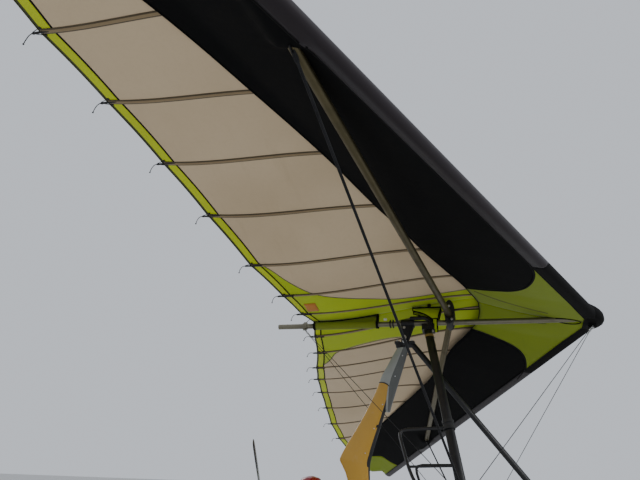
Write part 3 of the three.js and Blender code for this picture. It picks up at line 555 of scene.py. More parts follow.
def bandShare(x, inset=0.0):
    # share of the chord where the trailing band starts
    chord = chordAt(x)
    return 1 - (min(bandWidth(x), chord * 0.3) - inset) / chord


def addSheet(bm, across, along, place, hem=0.0):
    # a grid of cloth, each point put in its place; hem is the share along its far edge in the second finish
    grid = bmesh.ops.create_grid(bm, x_segments=across, y_segments=along, size=0.5)["verts"]
    if hem:
        for face in bm.faces:
            face.material_index = 1 if face.calc_center_median().y > 0.5 - hem else 0
    for vert in grid:
        vert.co = place(vert.co.x + 0.5, vert.co.y + 0.5)


def sideways(point, side):
    return Vector((point.x * side, point.y, point.z))


def clothPiece(name, bm, finish, side, thickness=wing["cloth"], offset=-1, replaces=()):
    if side < 0:
        bmesh.ops.reverse_faces(bm, faces=bm.faces)
    piece = makePiece(name, bm, "wing", finish, replaces, onWing=True, sharp=60, open=True)
    thicken(piece, thickness, offset)
    return piece


def declareSheet(piece):
    # works out how far the cloth reaches and how wide its area makes it; nothing is kept
    spots = [vert.co for vert in piece.data.vertices]
    reach = max(max(spot[k] for spot in spots) - min(spot[k] for spot in spots) for k in range(3))
    area = sum(face.area for face in piece.data.polygons)
    if area / reach > wing["narrowTape"]:
        area / reach


def rowShare(t, x):
    # rows crowd towards the band, where the root's seam runs out
    return lerp(wing["firstRow"], bandShare(x, -wing["under"]), 1 - (1 - t) ** 1.7)


def underSeam(x):
    # where the lower cloth is sewn to the leading edge's
    return frontEdge(x) + wing["pocketBelow"] - wing["sewnAhead"]


def makeSail(name, side):
    seam, end, hem = rootSeam[name], blackEnd[name], hemLine[name]
    tipFrom = wing["tipFrom"]
    made = {}

    def rootPlace(s, t):
        share = rowShare(t, 0.5)
        x = s * through(seam, share)
        return sideways(topPoint(x, rowShare(t, x), wing["lift"]), side)

    def mainPlace(s, t):
        share = rowShare(t, 0.5)
        x = lerp(through(seam, share) - 0.006, tipFrom + 0.006, s)
        return sideways(topPoint(x, rowShare(t, x)), side)

    def tipPlace(s, t):
        x = lerp(tipFrom, wing["tip"], s)
        return sideways(topPoint(x, lerp(0.1, bandShare(x, -wing["under"]), t), wing["lift"]), side)

    def bandPlace(s, t):
        x = lerp(0, wing["tip"], s)
        return sideways(topPoint(x, lerp(bandShare(x), 1, t), 0.0008), side)

    for part, place, across, along, finish, slot in [
            ("root_upper", rootPlace, 16, 60, "lime", "lime_cloth"),
            ("main_upper", mainPlace, 120, 48, "cream", "sail_cloth"),
            ("tip_upper", tipPlace, 12, 12, "lime", "lime_cloth"),
            ("trailing_band", bandPlace, 150, 5, ["limeBand", "oliveHem"], "lime_cloth")]:
        bm = bmesh.new()
        addSheet(bm, across, along, place, 0.2 if part == "trailing_band" else 0.0)
        made[part] = clothPiece(f"sail_{part}_{name}", bm, finish, side,
                                replaces=[f"sail_{name}"] if part == "main_upper" else ())

    # lower cloth: the black panel, the lime root and the lime tip; the lime parts take a darker lime, painted
    # shade where two layers of cloth lie together
    hemEnd = Vector(hem[-1])
    tipFront = Vector((tipFrom, underSeam(tipFrom)))
    cornerX = end[0][0]

    def hemPoint(x):
        return Vector((x, through(hem, x)))

    def coons(s, t, top, bottom, left, right):
        # a patch between four lines; top and bottom take s, left and right take t
        corners = top(0) * (1 - s) * (1 - t) + top(1) * s * (1 - t) + bottom(0) * (1 - s) * t
        corners += bottom(1) * s * t
        return top(s) * (1 - t) + bottom(s) * t + left(t) * (1 - s) + right(t) * s - corners

    def seamLine(a, b):
        def place(s):
            x = lerp(a, b, s)
            return Vector((x, underSeam(x)))
        return place

    def blackPlace(s, t):
        flat = coons(s, t, seamLine(cornerX, tipFrom),
                     lambda u: hemPoint(lerp(end[-1][0], tipFrom, u)),
                     lambda u: onCurve(end, u) if u > 0 else seamLine(cornerX, tipFrom)(0),
                     lambda u: tipFront.lerp(hemEnd, u))
        return sideways(underPoint(flat.x, flat.y), side)

    def rootUnderPlace(s, t):
        flat = coons(s, t, seamLine(0, cornerX),
                     lambda u: hemPoint(lerp(0, end[-1][0] + 0.004, u)),
                     lambda u: Vector((0, lerp(underSeam(0), hem[0][1], u))),
                     lambda u: onCurve(end, u) if u > 0 else seamLine(0, cornerX)(1))
        return sideways(underPoint(flat.x, flat.y, -0.0008), side)

    def tipUnderPlace(s, t):
        x = lerp(tipFrom - 0.004, wing["tip"] - 0.01, s)
        low = frontEdge(x) + min(wing["pocketBelow"] - wing["sewnAhead"], 0.5 * chordAt(x))
        high = lerp(hemEnd.y, topPoint(x, 0.9).y, s ** 0.6)
        return sideways(underPoint(x, lerp(low, high, t), -0.0008), side)

    for part, place, across, along, finish, slot in [
            ("black_panel", blackPlace, 110, 26, "black", "black_plastic"),
            ("root_lower", rootUnderPlace, 26, 26, "limeDouble", "lime_cloth"),
            ("tip_lower", tipUnderPlace, 10, 10, "limeDouble", "lime_cloth")]:
        bm = bmesh.new()
        addSheet(bm, across, along, place)
        bmesh.ops.reverse_faces(bm, faces=bm.faces)
        made[part] = clothPiece(f"sail_{part}_{name}", bm, finish, side)

    # leading edge cloth, rolled round the front from below to above
    def section(x):
        front, r = frontEdge(x), edgeRadius(x)
        z = -wing["droop"] * x
        chord = chordAt(x)
        reach = min(wing["pocketBelow"], 0.5 * chord)
        lift = wing["edgeLift"]
        rows = [underPoint(x, front + lerp(reach, r, k / 3), lift) for k in range(3)]
        for k in range(13):
            angle = -math.pi / 2 - k / 12 * math.pi
            rows.append(Vector((x, front + r + (r + lift) * math.cos(angle),
                                z + (r + lift) * math.sin(angle))))
        far = min(0.35, wing["pocketAbove"] / chord)
        for k in range(1, 9):
            share = lerp((1.5 * r) / chord, far, k / 8)
            point = topPoint(x, share, lift)
            point.z = max(point.z, z + (r + lift) * (1 - 0.5 * k / 8))
            rows.append(point)
        return rows

    count = len(section(1.0))
    for part, start, stop, across, finish in [("edge_nose", 0.09, 1.0, 30, "tape"),
                                              ("edge", 0.98, 4.998, 110, "charcoal")]:
        def edgePlace(s, t, start=start, stop=stop, part=part):
            point = section(lerp(start, stop, s))[round(t * (count - 1))].copy()
            if part == "edge_nose":
                point.z += 0.0006 if t > 0.5 else -0.0006
            return sideways(point, side)
        bm = bmesh.new()
        addSheet(bm, across, count - 1, edgePlace)
        made[part] = clothPiece(f"sail_{part}_{name}", bm, finish, side)

    for piece in made.values():
        declareSheet(piece)


for name, side in sides:
    makeSail(name, side)
print("sail cut and sewn")


# Sewn details of the sail

trim = {
    "pocketWidth": 0.036, "pocketRise": 0.005, "threadShare": 0.22, "hidden": 0.16,  # batten pockets
    "tape": 0.012, "seam": 0.007, "edgeCord": 0.004, "below": 0.0024, "tapeCloth": 0.0009,
    "tipOut": 0.035, "tipRadius": 0.0065, "leverRadius": 0.0026, "loopRadius": 0.0022,
}


def sewTape(name, points, width, side, finish="tape"):
    # a flat ribbon along points that lie on the cloth
    def place(s, t):
        at = s * (len(points) - 1)
        i = min(int(at), len(points) - 2)
        ahead = (points[i + 1] - points[i]).normalized()
        across = ahead.cross(Vector((0, 0, 1))).normalized()
        return points[i].lerp(points[i + 1], at - i) + across * ((t - 0.5) * width)
    bm = bmesh.new()
    addSheet(bm, len(points) - 1, 1, place)
    declareSheet(clothPiece(name, bm, finish, side, trim["tapeCloth"], 0))


def sewCord(name, points, radius, sides=8, finish="tape", closed=False):
    bm = bmesh.new()
    addTube(bm, points, radius, sides, closed=closed)
    makePiece(name, bm, "wing", finish, onWing=True, sharp=60)


def batten(name, side, x):
    # pocket under the upper cloth, from the lower cloth's hem to the trailing edge, with two dark seams; its
    # brown is painted shade of the batten seen through the sail
    inner = through(battenRun[name], x)
    start, stop = through(hemLine[name], inner) - trim["hidden"], rearEdge(x)[0] - 0.012

    def place(u, v):
        spotX = lerp(inner, x, v) + (u - 0.5) * trim["pocketWidth"]
        front = frontEdge(spotX)
        share = (lerp(start, stop, v) - front) / (rearEdge(spotX)[0] - front)
        point = topPoint(spotX, share, -trim["below"])
        point.z -= trim["pocketRise"] * math.sin(math.pi * u)
        return sideways(point, side)

    bm = bmesh.new()
    across, along = 8, 44
    addSheet(bm, across, along, place)
    for face in bm.faces:
        spot = face.calc_center_median()
        v = (spot.y - start) / (stop - start)
        off = abs(abs(spot.x) - lerp(inner, x, v)) / (trim["pocketWidth"] / 2)
        face.material_index = 1 if off > 1 - 2 * trim["threadShare"] else 0
    declareSheet(clothPiece(f"batten_shade_pocket_{name}_{round(x * 100)}", bm, ["pocket", "thread"],
                            side, trim["tapeCloth"]))

    # the batten's tip stands out of the pocket, held by an elastic loop with its lever
    rearY, rearZ, _ = rearEdge(x)
    at = Vector((side * x, rearY, rearZ - 0.008))
    bm = bmesh.new()
    out = trim["tipOut"]
    addRod(bm, at + Vector((0, -0.10, -0.003)), at + Vector((0, out, 0)), trim["tipRadius"], sides=14)
    addRod(bm, at + Vector((0, out, 0)), at + Vector((0, out + 0.014, 0)), trim["tipRadius"] * 1.25, 0.003,
           sides=14)
    for away in (-1, 1):
        addTube(bm, [at + Vector((away * 0.024, -0.022, 0.004)), at + Vector((away * 0.014, 0.012, 0.003)),
                     at + Vector((away * 0.004, out + 0.006, 0.004))], trim["loopRadius"], 8, smooth=5)
    lever = [(0, 0, 0), (0.006, 0.030, 0.002), (0.016, 0.052, -0.012), (0.022, 0.062, -0.044)]
    addTube(bm, [at + Vector((-side * a, out + b, c)) for a, b, c in lever], trim["leverRadius"], 8, smooth=5)
    bmesh.ops.create_uvsphere(bm, u_segments=10, v_segments=6, radius=0.0055,
                              matrix=Matrix.Translation(at + Vector((-side * 0.022, out + 0.062, -0.046))))
    for away in (-1, 1):
        foot = at + Vector((away * 0.024, -0.022, -0.002))
        addRod(bm, foot, foot + Vector((0, 0, 0.012)), 0.0075, sides=14)
    makePiece(f"batten_tip_{name}_{round(x * 100)}", bm, "wing", "plastic", onWing=True)


def sewSail(name, side):
    below = -trim["below"]
    outward = [wing["tip"] * k / 90 for k in range(91)]
    sewTape(f"band_seam_{name}", [sideways(topPoint(x, bandShare(x), below), side) for x in outward],
            trim["tape"], side)
    seam = []
    for k in range(20, 91):
        x = through(rootSeam[name], rowShare(k / 90, 0.5))
        seam.append(sideways(topPoint(x, rowShare(k / 90, x), below), side))
    sewTape(f"root_seam_{name}", seam, trim["seam"], side, "thread")
    sewCord(f"trailing_cord_{name}", [sideways(topPoint(x, 1.0, -0.001), side) for x in outward],
            trim["edgeCord"], finish="oliveHem")
    # hem of the lower cloth, the panel's inner end, a faded line on the root, the leading edge's seam
    hem = hemLine[name]
    reach = hem[-1][0]
    hemmed = [sideways(underPoint(reach * k / 80, through(hem, reach * k / 80), 0.001),
                       side) for k in range(81)]
    sewCord(f"hem_cord_{name}", hemmed, 0.0035)
    inner = [onCurve(blackEnd[name], k / 40) for k in range(41)]
    sewTape(f"panel_seam_{name}", [sideways(underPoint(p.x, p.y, 0.0016), side) for p in inner], 0.016, side)
    faded = [onCurve([(0.10, 0.42), (0.13, 0.60), (0.19, 0.82), (0.28, 1.01)], k / 30) for k in range(31)]
    sewTape(f"root_line_{name}", [sideways(underPoint(p.x, p.y, 0.0022), side) for p in faded], 0.006, side,
            "thread")
    seamed = []
    for k in range(81):
        x = lerp(0.05, 4.95, k / 80)
        y = frontEdge(x) + min(wing["pocketBelow"], 0.5 * chordAt(x))
        seamed.append(sideways(underPoint(x, y, 0.003), side))
    sewTape(f"edge_seam_{name}", seamed, 0.010, side)
    for station in battens:
        batten(name, side, station[0])


for name, side in sides:
    sewSail(name, side)
print("seams, battens and hems sewn")


# Cloth at the keel: its pocket, the fin at the apex, the blank tag and the slot in the lower cloth

tag = {"x": (0.28, 0.43), "y": (2.375, 2.48)}


def shareAt(y, x):
    return (y - frontEdge(x)) / chordAt(x)


def keelCloth():
    bm = bmesh.new()
    bm.from_mesh(frame["nodes"]["keel_pocket"].data)
    bmesh.ops.remove_doubles(bm, verts=bm.verts, dist=2e-5)
    bmesh.ops.dissolve_limit(bm, angle_limit=math.radians(1), verts=bm.verts, edges=bm.edges)
    bmesh.ops.triangulate(bm, faces=bm.faces)
    bmesh.ops.subdivide_edges(bm, edges=[edge for edge in bm.edges if edge.calc_length() > 0.12], cuts=6,
                              use_grid_fill=True)
    makePiece("keel_pocket_cloth", bm, "wing", "olive", ["keel_pocket"], sharp=50)

    radius = 0.0375  # outside the pocket's sleeve
    for label, y in [("front", 1.888), ("rear", 2.486)]:
        bm = bmesh.new()
        loop = [Vector((radius * math.cos(a), y, radius * math.sin(a)))
                for a in [math.radians(110 + 320 * k / 24) for k in range(25)]]
        top = topPoint(0.01, shareAt(y, 0.01), -0.004)
        loop = [Vector((-0.007, y, top.z))] + loop + [Vector((0.007, y, top.z))]

        def place(s, t, points=loop, y=y):
            at = s * (len(points) - 1)
            i = min(int(at), len(points) - 2)
            point = points[i].lerp(points[i + 1], at - i)
            return Vector((point.x * 1.02, y + (t - 0.5) * 0.022, point.z * 1.01))
        addSheet(bm, 60, 1, place)
        piece = makePiece(f"keel_pocket_trim_{label}", bm, "wing", "tape", onWing=True,
                          open=True)
        thicken(piece, 0.0016)
        declareSheet(piece)
    for name, side in sides:
        line = [topPoint(0.016, shareAt(lerp(1.878, 2.461, k / 30), 0.016), -0.009) for k in range(31)]
        sewCord(f"keel_pocket_cord_{name}", [sideways(p, side) for p in line], 0.0055, 10)


def apexFin():
    # cloth from the sail to the keel just ahead of the hang block, and its strap round the keel
    outline = [(1.309, 0.138), (1.562, 0.134), (1.562, 0.111), (1.504, 0.094), (1.454, 0.072), (1.415, 0.046),
               (1.394, 0.026), (1.338, 0.026), (1.330, 0.06)]
    bm = bmesh.new()
    for x in (-0.034, 0.034):
        verts = [bm.verts.new((x, y, z)) for y, z in outline]
        bm.faces.new(verts if x > 0 else list(reversed(verts)))
    saddle = [(0.034, -0.074), (0.036, -0.02), (0.037, 0.004), (0.030, 0.026), (0.012, 0.040), (0, 0.043)]
    saddle += [(-x, z) for x, z in reversed(saddle[:-1])]

    def strapPlace(s, t):
        i = round(t * (len(saddle) - 1))
        return Vector((saddle[i][0], lerp(1.340, 1.391, s) + 0.006 * (1 - 2 * s) * abs(saddle[i][0]) / 0.037,
                       saddle[i][1]))
    addSheet(bm, 3, len(saddle) - 1, strapPlace)
    piece = makePiece("apex_fin", bm, "wing", "lime", onWing=True, open=True)
    thicken(piece, 0.0025)
    declareSheet(piece)
    bm = bmesh.new()
    for x in (-0.034, 0.034):
        addTube(bm, [Vector((x, y, z)) for y, z in outline], 0.0055, 10, closed=True)
    for s in (0, 1):
        addTube(bm, [strapPlace(s, k / (len(saddle) - 1)) for k in range(len(saddle))], 0.0045, 10)
    addBox(bm, (0.082, 0.26, 0.014), (0, 1.437, 0.138), 0.004)
    makePiece("apex_fin_trim", bm, "wing", "tape", onWing=True, sharp=50)


def smallCloths():
    # blank tag by the trailing edge, starboard side
    bm = bmesh.new()
    addSheet(bm, 4, 3, lambda s, t: sideways(topPoint(
        lerp(*tag["x"], s), shareAt(lerp(*tag["y"], t), lerp(*tag["x"], s)), -0.003), -1))
    piece = clothPiece("blank_tag", bm, "orange", -1, 0.0008)
    declareSheet(piece)

    # bound slot where the keel passes through the lower cloth, and the line from crossbar joint to nose
    ring = []
    for angle in turns(28):
        x = 0.042 * math.sin(angle)
        spot = underPoint(abs(x), 0.262 + 0.105 * math.cos(angle), 0.002)
        ring.append(Vector((x, spot.y, spot.z)))
    sewCord("keel_slot_binding", ring, 0.0045, closed=True)
    sewCord("nose_line", [(0, 1.195, 0.123), (0, 0.975, 0.126)], 0.005, 10)


keelCloth()
apexFin()
smallCloths()


# Wing's tubes, brackets and rigging

rig = {  # metres, wing frame, port side, as on the solids
    "kingHead": (0, 1.400, 1.180), "keelFront": (0, 0.06, 0.058), "keelRear": (0, 2.582, 0.036),
    "nose": (0.008, 0.072, -0.064), "tail": (0.003, 2.582, -0.036), "corner": (0.816, 1.145, -1.601),
    "tip": (3.195, 1.750, -0.152), "landing": (3.06, 1.55, -0.09),
    "uprightTop": (0.058, 1.425, -0.088), "uprightFoot": (0.796, 1.145, -1.627),
    "uprightHalf": (0.0145, 0.035),  # half width and half depth of the upright's section
    "cable": 0.004, "pairApart": 0.0042, "ferrule": 0.0052, "ferruleLength": 0.032,
}
collars = [  # name, share of the way down the upright, length, how far it stands out, finish
    ("top", 0.055, 0.028, 0.003, "ochre"), ("mid", 0.625, 0.030, 0.008, "plastic"),
    ("low", 0.662, 0.016, 0.008, "plastic"), ("sleeve", 0.643, 0.040, 0.004, "plastic"),
]


def rigSpot(key, side=1):
    return sideways(Vector(rig[key]), side)


def addFerrule(bm, start, end, away=0.06):
    # swaged sleeve and thimble near one end of a cable
    a, ahead = Vector(start), (Vector(end) - Vector(start)).normalized()
    addRod(bm, a + ahead * away, a + ahead * (away + rig["ferruleLength"]), rig["ferrule"], sides=14)
    across = ahead.cross(Vector((0, 0, 1))).normalized()
    loop = []
    for t in turns(20):
        along = away * 0.55 - 0.55 * away * math.cos(t)
        loop.append(a + ahead * along + across * (0.011 * math.sin(t) * (1 - 0.3 * math.cos(t))))
    addTube(bm, loop, 0.0026, 8, closed=True)


def fitWing():
    wires = ["top_wire_front", "top_wire_rear"]
    wires += [f"{kind}_wire_{name}" for name, _ in sides for kind in ("landing", "nose", "tail")]
    for node in wires:
        dress(node, "cable", name=f"{node}_cable")
    bm = bmesh.new()
    king = rigSpot("kingHead")
    for name, side in sides:
        nose, tail, corner, landing = (rigSpot(key, side) for key in ("nose", "tail", "corner", "landing"))
        front, back = corner + Vector((0, -0.02, 0)), corner + Vector((0, 0.02, 0))
        for start, end, away in [(nose, front, 0.05), (front, nose, 0.06), (tail, back, 0.05),
                                 (back, tail, 0.06), (king, landing, 0.06)]:
            addFerrule(bm, start, end, away)
    for key in ("keelFront", "keelRear"):
        addFerrule(bm, king, rigSpot(key))
    makePiece("cable_ends", bm, "wing", "silver", onWing=True)

    # the flying wires are pairs of cables side by side
    for name, side in sides:
        bm = bmesh.new()
        a, b = rigSpot("tip", side), rigSpot("corner", side)
        for off in (-rig["pairApart"], rig["pairApart"]):
            addRod(bm, a + Vector((0, off, 0)), b + Vector((0, off, 0)), rig["cable"], sides=12)
        addFerrule(bm, a, b, 0.07)
        addFerrule(bm, b, a, 0.07)
        makePiece(f"flying_wire_{name}_pair", bm, "wing", "cable", [f"flying_wire_{name}"],
                  onWing=True)

    dress("nose_cap", "tape", 0.006, 3, sharp=45)
    dress("keel_tube", "keelGrey", 0.002)
    for name, side in sides:
        dress(f"crossbar_{name}", "bronze", 0.002)
        dress(f"upright_{name}", "blackTube", 0.001, sharp=40)
        dress(f"training_bar_{name}", "blackTube", 0.001, sharp=50)
    dress("crossbar_joint", "plastic", 0.008, 3)
    dress("apex_bracket", "blackMetal", 0.006, 3)
    dress("base_bar", "blackTube", 0.004)
    dress("king_post", "blackTube", 0.002, sharp=40)
    dress("hang_block", "blackMetal", 0.003)


def wingBolts():
    # bolts, and the tangs at the crossbar's ends
    bm = bmesh.new()
    for name, side in sides:
        tang = bmesh.new()
        addBox(tang, (0.050, 0.008, 0.034), (side * 3.202, 1.752, -0.160), 0.003)
        makePiece(f"crossbar_tang_{name}", tang, "wing", "blackMetal", onWing=True)
        for off in (0.05, -0.05):
            addBolt(bm, (side * 0.075, 1.226 + off * 0.2, 0.062 + off * 1.3), (side, 0, 0), 0.014)
        top, foot = rigSpot("uprightTop", side), rigSpot("uprightFoot", side)
        down = (foot - top).normalized()
        addBolt(bm, top + down * 0.028 + Vector((0, -0.034, 0)), (0, -1, 0), 0.015)
        for away in (-1, 1):
            addBolt(bm, (side * 0.81, 1.145 + away * 0.04, -1.633), (0, away, 0), 0.016)
        addBolt(bm, (side * 0.0415, 1.6382, -0.153), (side, 0, 0), 0.026, 0.012)
        addBolt(bm, (side * 0.036, 1.6382, -0.055), (side, 0, 0), 0.014)
    addBolt(bm, (0, 0.072, -0.080), (0, 0, -1), 0.014)
    makePiece("wing_bolts", bm, "wing", "silver", onWing=True)


def fitUprights():
    # bound collars on the uprights: a narrow ochre one at the top and a ribbed black one lower down
    for name, side in sides:
        top, foot = rigSpot("uprightTop", side), rigSpot("uprightFoot", side)
        down = (foot - top).normalized()
        fore = (Vector((0, 1, 0)) - down * down.y).normalized()
        for label, share, length, grow, finish in collars:
            bm = bmesh.new()
            place = Matrix((down.cross(fore), fore, down)).transposed().to_4x4()
            place.translation = top.lerp(foot, share)
            addTurned(bm, [(1, -length / 2), (1, length / 2), (0.9, length / 2), (0.9, -length / 2)],
                      (0, 0, 0), (0, 0, 1), 40, closed=True)
            wide, deep = rig["uprightHalf"]
            for vert in bm.verts:
                vert.co = place @ Vector((vert.co.x * (wide + grow), vert.co.y * (deep + grow), vert.co.z))
            makePiece(f"upright_collar_{label}_{name}", bm, "wing", finish, onWing=True,
                      sharp=40)
        # bent tube from beside the keel forward and down over the upright's top
        bm = bmesh.new()
        addTube(bm, [(side * 0.042, 1.585, 0.030), (side * 0.044, 1.505, 0.030), (side * 0.050, 1.445, 0.024),
                     (side * 0.057, 1.412, -0.010), (side * 0.060, 1.412, -0.047),
                     (side * 0.062, 1.428, -0.092)], 0.0175, 16, smooth=8)
        addBolt(bm, (side * 0.0575, 1.570, 0.030), (side, 0, 0), 0.014)
        addBolt(bm, (side * 0.0605, 1.50, 0.030), (side, 0, 0), 0.014)
        makePiece(f"apex_arm_{name}", bm, "wing", "blackMetal", onWing=True, sharp=45)
        # foam sleeve where the pilot's hands hold the bar
        bm = bmesh.new()
        addTurned(bm, [(0.0155, 0.12), (0.022, 0.124), (0.0235, 0.14), (0.0235, 0.52), (0.022, 0.536),
                       (0.0155, 0.54)], (0, 1.145, -1.651), (side, 0, 0), 32, closed=True)
        makePiece(f"hand_grip_{name}", bm, "wing", "foam", onWing=True)
    # rings round the keel behind the hang block, and a small white clip behind them
    bm = bmesh.new()
    for y in (1.742, 1.768):
        ring = [Vector((0.0335 * math.cos(a), y, 0.0335 * math.sin(a))) for a in turns(28)]
        addTube(bm, ring, 0.006, 10, closed=True)
    makePiece("keel_stop_rings", bm, "wing", "plastic", onWing=True)
    bm = bmesh.new()
    addBox(bm, (0.020, 0.030, 0.020), (-0.030, 1.812, 0.034), 0.006, segments=3)
    makePiece("white_clip", bm, "wing", "white", onWing=True)


fitWing()
wingBolts()
fitUprights()
print("wing fitted out")


# Shapes used on the carriage

def addSkin(bm, rings, ends=True):
    # a skin through rings of points
    loops = []
    for ring in rings:
        verts = [bm.verts.new(point) for point in ring]
        loops.append([bm.edges.new(pair) for pair in zip(verts, verts[1:] + verts[:1])])
    for low, high in zip(loops, loops[1:]):
        bmesh.ops.bridge_loops(bm, edges=low + high)
    if ends:
        for loop in (loops[0], loops[-1]):
            bmesh.ops.edgeloop_fill(bm, edges=loop)


def addAround(bm, centre, axis, count, make):
    # what make draws, repeated evenly round an axis
    before = set(bm.verts)
    make(bm)
    geom = [vert for vert in bm.verts if vert not in before]
    geom += list({face for vert in geom for face in vert.link_faces})
    bmesh.ops.spin(bm, geom=geom, cent=centre, axis=axis, angle=2 * math.pi * (count - 1) / count,
                   steps=count - 1, use_duplicate=True)


def addLoop(bm, place, count, radius):
    # a closed round cord through place(0) to place(1)
    addTube(bm, [place(k / count) for k in range(count)], radius, 8, closed=True)


def addText(bm, text, place, turn, size):
    curve = bpy.data.curves.new("figure", "FONT")
    curve.body, curve.size, curve.extrude = text, size, 0.0004
    curve.align_x, curve.align_y = "CENTER", "CENTER"
    holder = bpy.data.objects.new("figure", curve)
    bpy.context.scene.collection.objects.link(holder)
    mesh = bpy.data.meshes.new_from_object(holder.evaluated_get(bpy.context.evaluated_depsgraph_get()))
    mesh.transform(Matrix.Translation(place) @ turn)
    bm.from_mesh(mesh)
    bpy.data.objects.remove(holder)
    bpy.data.meshes.remove(mesh)
    bpy.data.curves.remove(curve)


finishes.update({
    # dark grey: the pod's own colour below its band line, and painted shade on the upper fairing's front
    "darkGreyAndPaintedShade": gelFinish("darkGreyGelCoatAndPaintedShade", (0.085, 0.09, 0.085), (0.06, 0.065, 0.06), 0.34),
    "red": gelFinish("redGelCoat", (0.27, 0.008, 0.012), (0.16, 0.006, 0.01), 0.2),
    "rubber": mouldFinish("tyreRubber", (0.012, 0.012, 0.012), 160, 0.8, 0.0, (0.05, 0.045, 0.04)),
    "alloy": mouldFinish("castAlloy", (0.42, 0.42, 0.41), 300, 0.42, 0.85, (0.6, 0.6, 0.6)),
    "hubAlloy": mouldFinish("wheelAlloy", (0.50, 0.50, 0.50), 200, 0.34, 0.85, (0.65, 0.65, 0.65)),
    "exhaust": tubeFinish("exhaustSteel", (0.30, 0.25, 0.20), 0.9, 0.42),
    "tank": mouldFinish("tankPlastic", (0.60, 0.56, 0.42), 90, 0.45, 0.0, (0.5, 0.45, 0.32)),
    "seat": clothFinish("seatCloth", (0.020, 0.021, 0.026), (0.012, 0.012, 0.015), 0.85, 1.2, 0.2),
    "piping": clothFinish("seatPiping", (0.36, 0.16, 0.01), (0.24, 0.1, 0.01), 0.7),
    "webbing": clothFinish("beltWebbing", (0.014, 0.014, 0.015), (0.008, 0.008, 0.008), 0.7, 2.0),
    "hose": mouldFinish("rubberHose", (0.016, 0.016, 0.017), 220, 0.7),
    "blade": gelFinish("bladeGelCoat", (0.010, 0.010, 0.011), (0.018, 0.018, 0.019), 0.3),
    "lamp": gelFinish("lampLens", (0.55, 0.55, 0.52), (0.45, 0.45, 0.42), 0.15),
})


def coreFinish(name):
    # radiator core: upright tubes with fine fins between them
    made, place = startMaterial(name)
    tubes = place.waves(28, "Y").ramp(0.3, 0.6)
    fins = place.waves(260, "Z")
    bent = place.noise(14, 4, 0.6).ramp(0.55, 0.75)
    base = tubes.mix((0.012, 0.012, 0.012), (0.05, 0.05, 0.052))
    base = (bent * 0.3).mix(base, (0.11, 0.1, 0.09))
    return endMaterial(made, place, base, 0.55 + 0.2 * bent, (tubes + fins * 0.5, 0.5, 0.004), Metallic=0.6)


def clearFinish(name):
    # clear acrylic sheet with fine scratches and a dusty foot
    made, place = startMaterial(name)
    scratch = place.moved(turn=(0.4, 0.2, 0.7), scale=(30, 2, 2)).noise(9, 3).ramp(0.66, 0.74)
    dust = place.noise(20, 5, 0.7).ramp(0.5, 0.8)
    base = (dust * 0.15).mix((0.93, 0.96, 0.96), (0.6, 0.58, 0.52))
    return endMaterial(made, place, base, 0.03 + 0.12 * dust + 0.1 * scratch, (scratch, 0.05, 0.0005),
                       Transmission_Weight=0.96, IOR=1.49)


finishes["core"] = coreFinish("radiatorCore")
finishes["clear"] = clearFinish("clearScreen")


# Mast, its fairings and the front strut

fairings = {  # height: front, rear, half width
    "lower": [(1.250, 0.672, 0.860, 0.038), (1.600, 0.672, 0.868, 0.040), (1.690, 0.672, 0.908, 0.042),
              (1.758, 0.660, 0.934, 0.042), (2.073, 0.560, 0.744, 0.040), (2.300, 0.486, 0.625, 0.038),
              (2.400, 0.448, 0.583, 0.036)],
    "upper": [(2.140, 0.495, 0.536, 0.030), (2.210, 0.473, 0.552, 0.036), (2.390, 0.413, 0.584, 0.040),
              (2.560, 0.357, 0.500, 0.041), (2.697, 0.316, 0.420, 0.042)],
    "shoulder": 2.296, "top": 2.392,  # lower one's top edge, in front and behind
    # the upper fairing's front share in a darker grey is painted shade
    "frontTrim": 0.05, "paintedShadeFront": 0.42, "around": 44,
}


def fairingPoint(levels, z, along, side):
    front, rear, half = readRows(levels, z)
    width = half * side * 2 * math.sqrt(max(0, along * (1 - along))) * (1.25 - 0.75 * along)
    return Vector((width, lerp(front, rear, along), z))


def fairingTop(key, along):
    # the lower one's top edge is level behind and rounded down in front
    if key == "upper":
        return fairings["upper"][-1][0]
    return lerp(fairings["shoulder"], fairings["top"], math.sqrt(max(0, 1 - (1 - along) ** 2)))


